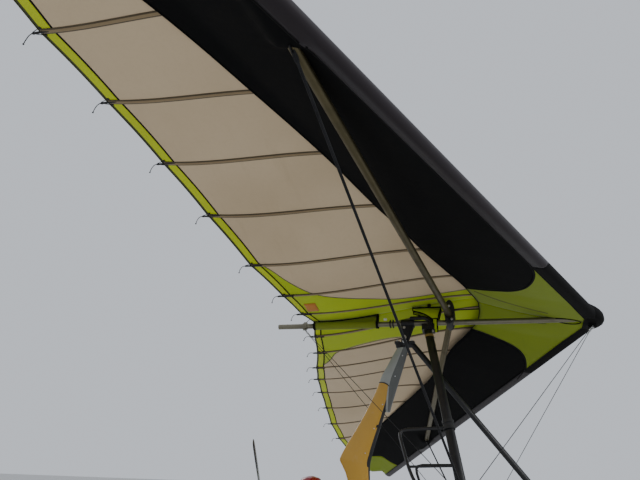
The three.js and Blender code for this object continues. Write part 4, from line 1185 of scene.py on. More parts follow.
def mastFairings():
    count = fairings["around"]

    def spin(k):
        # share from front to rear and the side, k steps round
        angle = 2 * math.pi * k / count
        return (1 - math.cos(angle)) / 2, 1 if angle < math.pi else -1

    lowHeights = [0, 0.15, 0.30, 0.345, 0.38, 0.395, 0.41, 0.425, 0.44, 0.46, 0.49, 0.55, 0.65, 0.75, 0.85,
                  0.93, 1]
    for key, heights, second, finish, slot in [
            ("lower", lowHeights, fairings["frontTrim"], ["yellow", "plastic"], "yellow_gel_coat"),
            ("upper", [k / 14 for k in range(15)], fairings["paintedShadeFront"], ["grey", "darkGreyAndPaintedShade"],
             "grey_gel_coat")]:
        levels = fairings[key]
        low = levels[0][0]
        bm = bmesh.new()
        addSkin(bm, [[fairingPoint(levels, lerp(low, fairingTop(key, spin(k)[0]), t), *spin(k))
                      for k in range(count)] for t in heights])
        for face in bm.faces:
            place = face.calc_center_median()
            front, rear = readRows(levels, place.z, (1, 2))
            # the front share takes the second finish: the lower fairing's black trim, and on the upper one a
            # darker grey that is painted shade
            face.material_index = 1 if (place.y - front) / (rear - front) < second else 0
        makePiece(f"{key}_fairing", bm, "carriage", finish, [f"mast_fairing_{key}"], sharp=50)
    low, high = fairings["lower"], fairings["upper"]
    bm = bmesh.new()
    addLoop(bm, lambda t: fairingPoint(low, fairingTop("lower", spin(t * count)[0]), *spin(t * count)), count,
            0.0042)
    addLoop(bm, lambda t: fairingPoint(low, low[0][0], *spin(t * count)), count, 0.004)
    addLoop(bm, lambda t: fairingPoint(high, high[-1][0], *spin(t * count)), count, 0.003)
    makePiece("fairing_edging", bm, "carriage", "plastic")
    bm = bmesh.new()
    for side in (-1, 1):
        for levels, along, heights in [(low, 0.22, (1.33, 1.50, 1.80, 2.0, 2.2)), (high, 0.25, (2.44, 2.62))]:
            for z in heights:
                spot, out = fairingPoint(levels, z, along, side), Vector((side, 0, 0))
                addRod(bm, spot - out * 0.002, spot + out * 0.0024, 0.006, 0.0045, 14)
    makePiece("fairing_screws", bm, "carriage", "silver")


def mastFittings():
    dress("mast", "blackTube", 0.0025, sharp=40)
    dress("front_strut", "blackTube", 0.002, sharp=40)
    bm = bmesh.new()
    for side in (-1, 1):
        addBolt(bm, (side * 0.032, 0.350, 2.750), (side, 0, 0), 0.022, 0.010)
        for x, y, z, across in [(0.032, 0.285, 2.749, 0.013), (0.032, 0.415, 2.749, 0.013),
                                (0.042, 0.665, 0.4904, 0.012), (0.042, 0.755, 0.4904, 0.012),
                                (0.018, -1.505, 0.4964, 0.012), (0.018, -1.432, 0.4964, 0.012)]:
            addBolt(bm, (side * x, y, z), (0, 0, 1), across)
    makePiece("mast_bolts", bm, "carriage", "silver")
    # clamps round the mast inside the fairing
    bm = bmesh.new()
    for z in (2.02, 1.40):
        y = through([(1.0, 0.71), (1.66, 0.71), (1.782, 0.688), (2.708, 0.372)], z)
        addTurned(bm, [(0.0305, -0.012), (0.034, -0.012), (0.034, 0.012), (0.0305, 0.012)], (0, y, z),
                  (0, 0, 1), 32, closed=True)
    makePiece("mast_clamps", bm, "carriage", "blackMetal")


mastFairings()
mastFittings()
print("mast dressed")


# Chassis, fork, mudguard and legs

gear = {
    "front": (0, -1.67, 0.175), "rearX": 0.78, "rear": (0.95, 0.2),  # wheel centres
    "headRake": math.radians(16), "head": (0, -1.59, 0.47),
    # mudguard: radius, thickness and half width, and where it runs from and to in degrees
    "guard": (0.1985, 0.0035, 0.062), "guardFrom": 20, "guardTo": 165,
}


def chassis():
    dress("chassis_beam", "silver", 0.004, 3)
    dress("fork", "blackMetal", 0.003)
    turn = Vector((0, math.sin(gear["headRake"]), math.cos(gear["headRake"])))
    head = Vector(gear["head"])
    bm = bmesh.new()
    for along in (-0.046, 0.070):
        addTurned(bm, [(0.0255, 0), (0.0385, 0), (0.0385, 0.009), (0.034, 0.012), (0.0255, 0.012)],
                  head + turn * (along - 0.006), turn, 32, closed=True)
    makePiece("head_bearings", bm, "carriage", "silver")
    bm = bmesh.new()
    addBolt(bm, head + turn * 0.092, turn, 0.022)
    for side in (-1, 1):
        addBolt(bm, (side * 0.084, -1.67, 0.175), (side, 0, 0), 0.024, 0.010)
        addBolt(bm, (side * 0.060, -1.612, 0.410), (0, 0, 1), 0.012)
        # stays from the fork's legs to the mudguard's edges
        addTube(bm, [(side * 0.070, -1.668, 0.215), (side * 0.068, -1.75, 0.258),
                     (side * 0.0645, -1.812, 0.297)],
                0.0045, 10, smooth=6)
        addBolt(bm, (side * 0.0625, -1.812, 0.297), (side, 0, 0), 0.010)
    makePiece("fork_fittings", bm, "fork", "silver")

    radius, thick, half = gear["guard"]
    bm = bmesh.new()
    section = [(-half, -0.012), (-half + 0.004, 0.0), (-half * 0.6, 0.0), (0, 0.0), (half * 0.6, 0.0),
               (half - 0.004, 0.0), (half, -0.012), (half - thick, -0.012), (half - 0.006, -thick),
               (0, -thick), (-half + 0.006, -thick), (-half + thick, -0.012)]
    rings = []
    for k in range(37):
        angle = math.radians(lerp(gear["guardFrom"], gear["guardTo"], k / 36))
        rings.append([(x, gear["front"][1] + (radius + r) * math.cos(angle),
                       gear["front"][2] + (radius + r) * math.sin(angle)) for x, r in section])
    addSkin(bm, rings)
    makePiece("mudguard_shell", bm, "fork", "yellow", ["front_mudguard"], sharp=50)


def rearGear():
    for name, side in sides:
        dress(f"gear_leg_{name}", "blackTube", 0.003, sharp=45)
        bm = bmesh.new()
        for y in (0.835, 0.945):
            addBolt(bm, (side * 0.0425, y, 0.45), (side, 0, 0), 0.016)
        addBolt(bm, (side * 0.0425, 0.218, 0.446), (side, 0, 0), 0.014)
        for y, z in [(0.925, 0.225), (0.975, 0.225), (0.925, 0.175), (0.975, 0.175)]:
            addBolt(bm, (side * 0.7005, y, z), (-side, 0, 0), 0.010)
        makePiece(f"gear_bolts_{name}", bm, "carriage", "silver")
        # drum brake on the inner side of the wheel, with its cable clipped along the leg
        bm = bmesh.new()
        centre = (side * gear["rearX"], *gear["rear"])
        addTurned(bm, [(0.020, -0.052), (0.060, -0.052), (0.066, -0.046), (0.066, -0.034), (0.020, -0.034)],
                  centre, (side, 0, 0), 40, closed=True)
        addBox(bm, (0.012, 0.022, 0.060), (side * 0.7325, 0.95, 0.272), 0.003)
        makePiece(f"brake_plate_{name}", bm, "carriage", "blackMetal")
        bm = bmesh.new()
        addTube(bm, [(side * 0.7265, 0.955, 0.298), (side * 0.66, 0.972, 0.300), (side * 0.5, 0.948, 0.322),
                     (side * 0.3, 0.925, 0.385), (side * 0.1, 0.905, 0.452), (side * 0.037, 0.885, 0.470)],
                0.0035, 8, smooth=8)
        makePiece(f"brake_cable_{name}", bm, "carriage", "hose")


chassis()
rearGear()


# Wheels

wheels = {
    "front": {"radius": 0.175, "rim": 0.088, "half": 0.050, "axle": 0.009},
    "rear": {"radius": 0.2, "rim": 0.1, "half": 0.055, "axle": 0.011},
    "blocks": 44, "ribs": 6, "groove": 0.004,
}


def makeWheel(name, centre, spec):
    r, rim, half, axle = (spec[key] for key in ("radius", "rim", "half", "axle"))
    axis = Vector((-1 if name.startswith("starboard") else 1, 0, 0))
    middle = Vector(centre)
    bm = bmesh.new()
    wall, groove = (r + rim) / 2, wheels["groove"]
    outline = [(rim - 0.002, -half * 0.68), (rim + 0.008, -half * 0.80), (wall - 0.012, -half * 0.97),
               (wall, -half), (wall + 0.012, -half * 0.985), (r - 0.018, -half * 0.90)]
    for edge, low in [(0.80, 0.009), (0.56, 0.004), (0.40, 0.0022), (0.16, 0.0006)]:
        outline.append((r - low, -half * edge))
        if edge in (0.56, 0.16):
            outline += [(r - low - groove, -half * (edge - 0.02)), (r - low - groove, -half * (edge - 0.12)),
                        (r - low, -half * (edge - 0.14))]
    outline = outline + [(radius, -along) for radius, along in reversed(outline)]
    outline = [pair for i, pair in enumerate(outline) if i == 0 or abs(pair[1] - outline[i - 1][1]) > 1e-6
               or abs(pair[0] - outline[i - 1][0]) > 1e-6]
    addTurned(bm, outline, centre, axis, 72, closed=True)
    # shoulder blocks, and raised rings on each wall
    up = axis.orthogonal().normalized()
    upright = up.to_track_quat("Z", "X").to_matrix().to_4x4()

    def blocks(mesh):
        for away in (-1, 1):
            place = middle + up * (r - 0.0125) + axis * (away * half * 0.80)
            turn = Matrix.Rotation(away * 0.35, 4, axis.cross(up)) @ upright
            addBox(mesh, (0.010, 0.007, 0.016), place, 0, turn)
    addAround(bm, centre, axis, wheels["blocks"], blocks)
    for away in (-1, 1):
        for radius in (wall + 0.004, rim + 0.016):
            addTurned(bm, [(radius, away * (half * 0.94)), (radius + 0.003, away * (half + 0.0012)),
                           (radius + 0.006, away * (half * 0.94))], centre, axis, 72, closed=True)
    makePiece(f"{name}_tread", bm, name, "rubber", [f"{name}_tyre"], sharp=40)

    bm = bmesh.new()
    disc = [(axle + 0.001, -half * 0.80), (axle + 0.013, -half * 0.80), (axle + 0.016, -half * 0.72),
            (axle + 0.018, -half * 0.25), (rim - 0.026, -half * 0.18), (rim - 0.016, -half * 0.55),
            (rim - 0.010, -half * 0.74), (rim - 0.001, -half * 0.76), (rim - 0.003, -half * 0.66)]
    disc = disc + [(radius, -along) for radius, along in reversed(disc)]
    addTurned(bm, disc, centre, axis, 64, closed=True)
    spoke = lerp(axle + 0.018, rim - 0.026, 0.5)

    def rib(mesh):
        addBox(mesh, (0.005, rim - 0.030 - axle - 0.016, half * 0.6), middle + up * spoke, 0.0015,
               Matrix((up.cross(axis), up, axis)).transposed().to_4x4())
    addAround(bm, centre, axis, wheels["ribs"], rib)
    makePiece(f"{name}_hub", bm, name, "hubAlloy", [f"{name}_rim"], sharp=35)
    # bolts half way between the ribs, a cap on the rear axles and the tyre's valve
    bm = bmesh.new()
    between = (up + up.cross(axis) * 0.577).normalized()

    def bolt(mesh):
        for away in (-1, 1):
            addBolt(mesh, middle + between * spoke + axis * (away * half * 0.22), axis * away, 0.009, 0.006)
    addAround(bm, centre, axis, wheels["ribs"], bolt)
    if name != "front_wheel":
        addTurned(bm, [(0, half * 0.80), (axle + 0.010, half * 0.80), (axle + 0.010, half * 0.98),
                       (axle + 0.004, half * 1.06), (0, half * 1.08)], centre, axis, 32)
    place = middle + up * (rim - 0.012) + up.cross(axis) * 0.02 + axis * half * 0.66
    addRod(bm, place, place + axis * 0.020 - up * 0.004, 0.004, 0.003, 12)
    makePiece(f"{name}_fixings", bm, name, "silver")


makeWheel("front_wheel", gear["front"], wheels["front"])
for name, side in sides:
    makeWheel(f"{name}_wheel", (side * gear["rearX"], *gear["rear"]), wheels["rear"])
print("chassis and wheels made")


# Seats

seats = {  # pan front y, pan rear y, pan height, back top y and z, as on the solids
    "front": {"frontY": -0.170, "rearY": 0.210, "low": 0.556, "topY": 0.300, "top": 0.900},
    "rear": {"frontY": 0.300, "rearY": 0.615, "low": 0.690, "topY": 0.660, "top": 1.160},
}
cushion = {
    "width": 0.372, "pan": 0.060, "back": 0.050, "voxel": 0.006, "pressure": 4.0, "swell": 0.010,
    "channels": 4, "channelDepth": 0.006, "channelWidth": 0.007, "piping": 0.0042, "frames": 20,
}


def puff(mesh, floor):
    # swells a closed form as cloth under pressure, held back by a cap, and kept off the tray it lies on
    holder = bpy.data.objects.new("puff", mesh)
    bpy.context.scene.collection.objects.link(holder)
    remesh = holder.modifiers.new("remesh", "REMESH")
    remesh.mode, remesh.voxel_size = "VOXEL", cushion["voxel"] * 1
    graph = bpy.context.evaluated_depsgraph_get()
    start = bpy.data.meshes.new_from_object(holder.evaluated_get(graph))
    bpy.data.objects.remove(holder)
    body = bpy.data.objects.new("puff", start)
    bpy.context.scene.collection.objects.link(body)
    cloth = body.modifiers.new("cloth", "CLOTH")
    cloth.settings.use_pressure = True
    cloth.settings.uniform_pressure_force = cushion["pressure"]
    cloth.settings.effector_weights.gravity = 0
    cloth.point_cache.frame_start, cloth.point_cache.frame_end = 1, cushion["frames"]
    for number in range(1, cushion["frames"] + 1):
        bpy.context.scene.frame_set(number)
    swollen = bpy.data.meshes.new_from_object(body.evaluated_get(bpy.context.evaluated_depsgraph_get()))
    for was, now in zip(start.vertices, swollen.vertices):
        move = now.co - was.co
        if move.length > cushion["swell"]:
            now.co = was.co + move.normalized() * cushion["swell"]
        point, normal = floor
        under = (now.co - point).dot(normal)
        if under < 0:
            now.co -= normal * under
    bpy.data.objects.remove(body)
    bpy.context.scene.frame_set(1)
    return swollen


def makeCushion(label, near, far, thick, name):
    # near and far are the ends, along the tray, of the face that lies on it; thick is measured out from it
    along = (far - near).normalized()
    across = Vector((1, 0, 0))
    out = across.cross(along)
    if out.z < 0:
        out = -out
    length = (far - near).length
    place = Matrix((across, along, out)).transposed().to_4x4()
    inset = 0.009
    bm = bmesh.new()
    addBox(bm, (cushion["width"] - 2 * inset, length - 2 * inset, thick - inset), (0, 0, 0), 0.016,
           segments=3)
    mesh = bpy.data.meshes.new("start")
    bm.to_mesh(mesh)
    bm.free()
    place.translation = (near + far) / 2 + out * (thick / 2 + inset * 0.2)
    mesh.transform(place)
    swollen = puff(mesh, (near + out * 0.0008, out))
    bm = bmesh.new()
    bm.from_mesh(swollen)
    # sewn channels across the cushion, and a sewn line along each side
    middle, sewn, line = (near + far) / 2, cushion["width"] * 0.36, cushion["channelWidth"]
    for vert in bm.verts:
        spot = vert.co - middle
        height, run, x = spot.dot(out), spot.dot(along), spot.x
        if height < thick * 0.45:
            continue
        press = math.exp(-((abs(x) - sewn) / line) ** 2)
        if abs(x) < sewn:
            for k in range(1, cushion["channels"] + 1):
                at = length * (k / (cushion["channels"] + 1) - 0.5)
                press = max(press, math.exp(-((run - at) / line) ** 2))
        vert.co -= out * press * cushion["channelDepth"]
    tree = BVHTree.FromBMesh(bm)
    piece = makePiece(f"seat_{name}_{label}_cushion", bm, "carriage", "seat",
                      [f"seat_{name}"] if label == "pan" else (), sharp=60)
    piece.modifiers.new("soft", "SUBSURF").levels = 1
    piece.modifiers["soft"].render_levels = 1

    # piping round the cushion's crown, laid on the swollen cloth
    halfWidth, halfRun = cushion["width"] / 2 - 0.004, length / 2 - 0.004

    def edge(t):
        angle = 2 * math.pi * t
        c, s = math.cos(angle), math.sin(angle)
        far = max(abs(c), abs(s)) ** -0.86
        point = middle + across * (halfWidth * c * far) + along * (halfRun * s * far) + out * thick * 0.80
        spot, normal, _, _ = tree.find_nearest(point)
        return spot + normal * 0.001
    bm = bmesh.new()
    addLoop(bm, edge, 72, cushion["piping"])
    makePiece(f"seat_{name}_{label}_piping", bm, "carriage", "piping", sharp=60)
    return tree


def layStrap(name, tree, route, width, lift=0.0028):
    # flat webbing laid over the cushion along a route of points
    marks = [0]
    for a, b in zip(route, route[1:]):
        marks.append(marks[-1] + (Vector(a) - Vector(b)).length)

    def point(t):
        return Vector(readRows([(m, *p) for m, p in zip(marks, route)], t * marks[-1]))

    def place(s, t):
        here = point(s)
        ahead = (point(min(1, s + 0.01)) - point(max(0, s - 0.01))).normalized()
        spot, normal, _, far = tree.find_nearest(here)
        if far > 0.05:
            normal = Vector((0, 0, 1))
        else:
            here = spot + normal * lift
        return here + ahead.cross(normal).normalized() * ((t - 0.5) * width)
    bm = bmesh.new()
    addSheet(bm, 36, 2, place)
    piece = makePiece(name, bm, "carriage", "webbing", open=True, sharp=60)
    thicken(piece, 0.0022)
    area = sum(face.area for face in piece.data.polygons)
    area / width


def makeSeats():
    dress("seat_frame", "blackTube", 0.003)
    for name, spec in seats.items():
        low, rear, lift = spec["low"], spec["rearY"], 0.0010
        panRear = Vector((0, rear - cushion["back"] - 0.012, low + lift))
        pan = makeCushion("pan", Vector((0, spec["frontY"] + 0.004, low + lift)), panRear, cushion["pan"],
                          name)
        foot = Vector((0, rear, low)).lerp(Vector((0, spec["topY"], spec["top"])), 0.03)
        top = Vector((0, spec["topY"] - 0.002, spec["top"] - 0.004))
        makeCushion("back", foot - Vector((0, 0.0016, 0)), top - Vector((0, 0.0016, 0)), cushion["back"],
                    name)
        y = rear - 0.12
        for label, side in sides:
            layStrap(f"belt_{name}_{label}", pan, [
                (side * 0.176, y + 0.085, low + 0.006), (side * 0.184, y + 0.05, low + 0.050),
                (side * 0.150, y + 0.02, low + 0.082), (side * 0.085, y - 0.01, low + 0.078),
                (side * 0.030, y - 0.03, low + 0.075)], 0.042)
        bm = bmesh.new()
        spot = pan.find_nearest(Vector((0, y - 0.03, low + 0.09)))[0]
        addBox(bm, (0.062, 0.050, 0.014), spot + Vector((0, 0, 0.0095)), 0.004, segments=3)
        addBox(bm, (0.026, 0.020, 0.005), spot + Vector((0, 0, 0.0175)), 0.002)
        for side in (-1, 1):
            addBox(bm, (0.014, 0.046, 0.004), spot + Vector((side * 0.037, 0, 0.008)), 0.0015)
        makePiece(f"belt_buckle_{name}", bm, "carriage", "blackMetal")


makeSeats()
print("seats made")


# Fuel tank

tank = {"size": (0.472, 0.230, 0.172), "centre": (0, 0.457, 0.5794), "rounding": 0.034, "capX": -0.19}


def makeTank():
    _, y, z = tank["centre"]
    bm = bmesh.new()
    addBox(bm, tank["size"], tank["centre"], tank["rounding"], segments=5)
    for x in (-0.15, 0.0, 0.15):
        for side in (-1, 1):
            addBox(bm, (0.055, 0.006, 0.120), (x, y + side * 0.1145, z), 0.0028)
    makePiece("tank_shell", bm, "carriage", "tank", ["fuel_tank"], sharp=50)
    bm = bmesh.new()
    addTurned(bm, [(0, -0.012), (0.034, -0.012), (0.034, 0.012), (0.030, 0.017), (0, 0.017)],
              (tank["capX"], y, 0.6764), (0, 0, 1), 32)
    grip = tank["capX"] + 0.034
    addAround(bm, (tank["capX"], y, 0.68), (0, 0, 1), 18,
              lambda mesh: addRod(mesh, (grip, y, 0.666), (grip, y, 0.688), 0.0028, sides=8))
    addTube(bm, [(0.18, y, 0.664), (0.18, y, 0.676), (0.186, 0.52, 0.672), (0.170, 0.60, 0.655),
                 (0.150, 0.72, 0.70), (0.135, 0.85, 0.86), (0.130, 0.96, 1.00), (0.128, 1.00, 1.03)],
            0.005, 10, smooth=8)
    makePiece("tank_cap_and_line", bm, "carriage", "plastic")
    bm = bmesh.new()
    for x in (-0.105, 0.105):
        outline = [(0.118, 0.0885), (0.118, -0.0865), (-0.118, -0.0865), (-0.118, 0.0885)]
        for (y0, z0), (y1, z1) in zip(outline, outline[1:] + outline[:1]):
            addBox(bm, (0.026, abs(y1 - y0) + 0.0024, abs(z1 - z0) + 0.0024),
                   (x, y + (y0 + y1) / 2, z + (z0 + z1) / 2), 0.001)
        addBox(bm, (0.030, 0.012, 0.036), (x, y - 0.1215, 0.60), 0.002)
    makePiece("tank_straps", bm, "carriage", "webbing")


makeTank()


# Engine, its cradle, silencer, radiator and intake

motor = {
    "y": 1.106, "case": (0.230, 0.380, 0.186), "caseZ": 0.914, "cylinders": (1.020, 1.186),
    "gearZ": 1.150, "lowZ": 0.980,
}


def makeEngine():
    bm = bmesh.new()
    width, length, height = motor["case"]
    y, z = motor["y"], motor["caseZ"]
    addBox(bm, (width - 0.012, length - 0.004, height), (0, y, z), 0.014, segments=3)
    addBox(bm, (width, length, 0.012), (0, y, z + 0.012), 0.003)
    for side in (-1, 1):
        for k in range(5):
            addBox(bm, (0.008, 0.008, height * 0.78), (side * (width / 2 - 0.006), y - 0.15 + 0.075 * k, z),
                   0.002)
    for at in motor["cylinders"]:
        addTurned(bm, [(0, 1.000), (0.078, 1.000), (0.078, 1.012), (0.066, 1.016), (0.066, 1.030),
                       (0.073, 1.036), (0.0745, 1.10), (0.073, 1.172), (0.066, 1.178), (0.084, 1.184),
                       (0.084, 1.206), (0.076, 1.212), (0.074, 1.252), (0.066, 1.264), (0.034, 1.268),
                       (0.034, 1.276), (0, 1.276)],
                  (0, at, 0), (0, 0, 1), 44)
        addBox(bm, (0.046, 0.054, 0.054), (-0.081, at, 1.085), 0.005)
        addBox(bm, (0.052, 0.060, 0.060), (0.078, at, 1.07), 0.005)
        for angle in range(0, 360, 45):
            turn = math.radians(angle + 22)
            addBolt(bm, (0.070 * math.cos(turn), at + 0.070 * math.sin(turn), 1.205), (0, 0, 1), 0.010)
    addTurned(bm, [(0, 1.29), (0.082, 1.29), (0.092, 1.298), (0.092, 1.350), (0.084, 1.360), (0.088, 1.366),
                   (0.088, 1.400), (0.072, 1.412), (0.044, 1.416), (0, 1.416)],
              (0, 0, motor["gearZ"]), (0, 1, 0), 44)
    addTurned(bm, [(0, 1.29), (0.104, 1.29), (0.104, 1.356), (0.096, 1.360), (0.100, 1.366), (0.096, 1.392),
                   (0.060, 1.400), (0, 1.400)], (0, 0, motor["lowZ"]), (0, 1, 0), 44)
    for z, radius, count, face in [(motor["gearZ"], 0.086, 10, 1.392), (motor["lowZ"], 0.098, 12, 1.376)]:
        addAround(bm, (0, 1.37, z), (0, 1, 0), count, lambda mesh: addBolt(
            mesh, (radius * 0.95, face, z), (0, 1, 0), 0.010))
    # ribs on the gearbox
    for k in range(12):
        angle = math.radians(30 * k + 15)
        start = Vector((0.046 * math.cos(angle), 1.408, motor["gearZ"] + 0.046 * math.sin(angle)))
        end = Vector((0.084 * math.cos(angle), 1.398, motor["gearZ"] + 0.084 * math.sin(angle)))
        addRod(bm, start, end, 0.004, sides=6)
    makePiece("engine_castings", bm, "carriage", "alloy", ["engine"], sharp=40)


def engineFittings():
    bm = bmesh.new()
    addTurned(bm, [(0, 1.41), (0.034, 1.41), (0.034, 1.45), (0.030, 1.452), (0.030, 1.512), (0, 1.512)],
              (0, 0, motor["gearZ"]), (0, 1, 0), 36)
    for at in motor["cylinders"]:
        # carburettor: body and throat, then float bowl, chamber and its cap
        for x, radius in [(0.100, 0.024), (0.150, 0.029)]:
            addRod(bm, (x, at, 1.070), (0.173, at, 1.070), radius, sides=28)
        for low, high, radius in [(1.035, 1.062, 0.026), (1.080, 1.103, 0.020), (1.101, 1.105, 0.022)]:
            addRod(bm, (0.135, at, low), (0.135, at, high), radius, sides=28)
        # spark plugs in the head
        for away in (-0.03, 0.03):
            addRod(bm, (away, at, 1.262), (away, at, 1.274), 0.010, sides=6)
    makePiece("engine_bright_parts", bm, "carriage", "silver", sharp=40)

    bm = bmesh.new()
    for at in motor["cylinders"]:
        addTurned(bm, [(0.023, 0.100), (0.031, 0.100), (0.031, 0.108), (0.028, 0.112), (0.031, 0.116),
                       (0.031, 0.124), (0.023, 0.124)], (0, at, 1.070), (1, 0, 0), 28, closed=True)
    # recoil starter at the front, with slots and its handle
    addTurned(bm, [(0, -0.060), (0.030, -0.060), (0.084, -0.050), (0.092, -0.040), (0.092, 0.0), (0, 0.0)],
              (0, 0.918, 0.930), (0, 1, 0), 44)
    addAround(bm, (0, 0.87, 0.930), (0, 1, 0), 14, lambda mesh: addBox(
        mesh, (0.030, 0.004, 0.006), (0.060, 0.8655, 0.930), 0.0015, Matrix.Rotation(0.17, 4, "Z")))
    addRod(bm, (-0.060, 0.862, 0.985), (-0.060, 0.895, 0.985), 0.011, sides=20)
    addBox(bm, (0.074, 0.014, 0.016), (-0.060, 0.866, 0.985), 0.005, segments=3)
    # caps on the front cylinder's plugs, and the ignition box with its leads
    for away in (-0.03, 0.03):
        addTurned(bm, [(0, 1.266), (0.010, 1.266), (0.010, 1.292), (0.008, 1.300), (0, 1.300)],
                  (away, motor["cylinders"][0], 0), (0, 0, 1), 20)
    addBox(bm, (0.10, 0.05, 0.07), (-0.02, 0.945, 1.040), 0.006, segments=3)
    addTube(bm, [(-0.03, 1.02, 1.292), (-0.034, 0.985, 1.300), (-0.036, 0.938, 1.24), (-0.034, 0.938, 1.15),
                 (-0.030, 0.942, 1.07)], 0.004, 10, smooth=8)
    addTube(bm, [(0.03, 1.02, 1.292), (0.026, 0.985, 1.300), (0.010, 0.938, 1.24), (0.000, 0.938, 1.15),
                 (-0.010, 0.942, 1.07)], 0.004, 10, smooth=8)
    makePiece("engine_black_parts", bm, "carriage", "plastic", sharp=40)


def engineHoses():
    bm = bmesh.new()
    for route in ([(0.244, 1.01, 1.095), (0.20, 1.01, 1.14), (0.12, 1.04, 1.225), (0.070, 1.055, 1.235)],
                  [(0.244, 1.19, 0.83), (0.20, 1.20, 0.80), (0.15, 1.22, 0.84), (0.110, 1.23, 0.88)]):
        addTube(bm, route, 0.014, 14, smooth=8)
    makePiece("coolant_hoses", bm, "carriage", "hose", sharp=60)
    bm = bmesh.new()
    for a, b in [((0.240, 1.01, 1.099), (0.228, 1.01, 1.111)),
                 ((0.095, 1.048, 1.2295), (0.082, 1.051, 1.233)),
                 ((0.240, 1.192, 0.8255), (0.228, 1.195, 0.817)),
                 ((0.128, 1.225, 0.862), (0.119, 1.227, 0.871))]:
        addRod(bm, a, b, 0.0158, sides=24)
    makePiece("hose_clips", bm, "carriage", "silver")


def engineMounts():
    dress("engine_cradle", "blackTube", 0.002)
    bm = bmesh.new()
    for x in (-0.075, 0.075):
        for y in (0.945, 1.265):
            addRod(bm, (x, y, 0.8205), (x, y, 0.8225), 0.022, sides=28)
            addBolt(bm, (x * 1.18, y, 0.8205), (0, 0, 1), 0.014)
    for side in (-1, 1):
        for y in (0.93, 1.02, 1.20, 1.29):
            addBolt(bm, (side * 0.0655, y, 0.505), (side, 0, 0), 0.012)
    makePiece("cradle_fixings", bm, "carriage", "silver")


def makeIntake():
    place = (0, motor["cylinders"][1], 0)
    bm = bmesh.new()
    profile = [(0, 1.2768), (0.046, 1.2768), (0.046, 1.345), (0.052, 1.358), (0.080, 1.376), (0.094, 1.400),
               (0.098, 1.430), (0.098, 1.436), (0.0955, 1.4375), (0.0955, 1.4435), (0.098, 1.445),
               (0.098, 1.528)]
    for k in range(9):
        angle = math.pi / 2 * k / 8
        profile.append((0.052 + 0.046 * math.cos(angle), 1.540 + 0.058 * math.sin(angle)))
    profile += [(0.040, 1.602), (0.020, 1.6075), (0, 1.609)]
    addTurned(bm, profile, place, (0, 0, 1), 56)
    makePiece("intake_dome", bm, "carriage", "red", ["air_filter"], sharp=40)
    bm = bmesh.new()
    addTurned(bm, [(0.0455, 1.296), (0.0485, 1.296), (0.0485, 1.308), (0.0455, 1.308)], place, (0, 0, 1), 40,
              closed=True)
    addBox(bm, (0.012, 0.016, 0.012), (0, motor["cylinders"][1] - 0.053, 1.302), 0.002)
    addTurned(bm, [(0.0965, 1.436), (0.0995, 1.437), (0.0995, 1.444), (0.0965, 1.445)], place, (0, 0, 1), 56,
              closed=True)
    makePiece("intake_bands", bm, "carriage", "silver")


radiator = {"centre": (0.262, 1.10, 0.96), "core": (0.030, 0.262, 0.252), "fins": 13, "finPitch": 0.0197}


def makeRadiator():
    x, y, z = radiator["centre"]
    bm = bmesh.new()
    addBox(bm, radiator["core"], radiator["centre"], 0)
    makePiece("radiator_core", bm, "carriage", "core", ["radiator"])
    bm = bmesh.new()
    for side in (-1, 1):
        addBox(bm, (0.040, 0.020, 0.300), (x, y + side * 0.140, z), 0.004)
        addBox(bm, (0.040, 0.300, 0.026), (x, y, z + side * 0.137), 0.007, segments=3)
    for foot in (1.01, 1.19):
        addBox(bm, (0.140, 0.024, 0.024), (0.1855, foot, 0.85), 0.003)
        addBolt(bm, (0.200, foot, 0.8625), (0, 0, 1), 0.010)
    makePiece("radiator_frame", bm, "carriage", "blackMetal")
    bm = bmesh.new()
    for k in range(radiator["fins"]):
        for side in (-1, 1):
            addBox(bm, (0.0016, radiator["core"][1], 0.0022),
                   (x + side * 0.0162, y, 0.842 + radiator["finPitch"] * k), 0)
    makePiece("radiator_fins", bm, "carriage", "silver")


silencer = {"x": -0.290, "z": 0.900, "portZ": 1.085, "bands": (0.98, 1.24)}


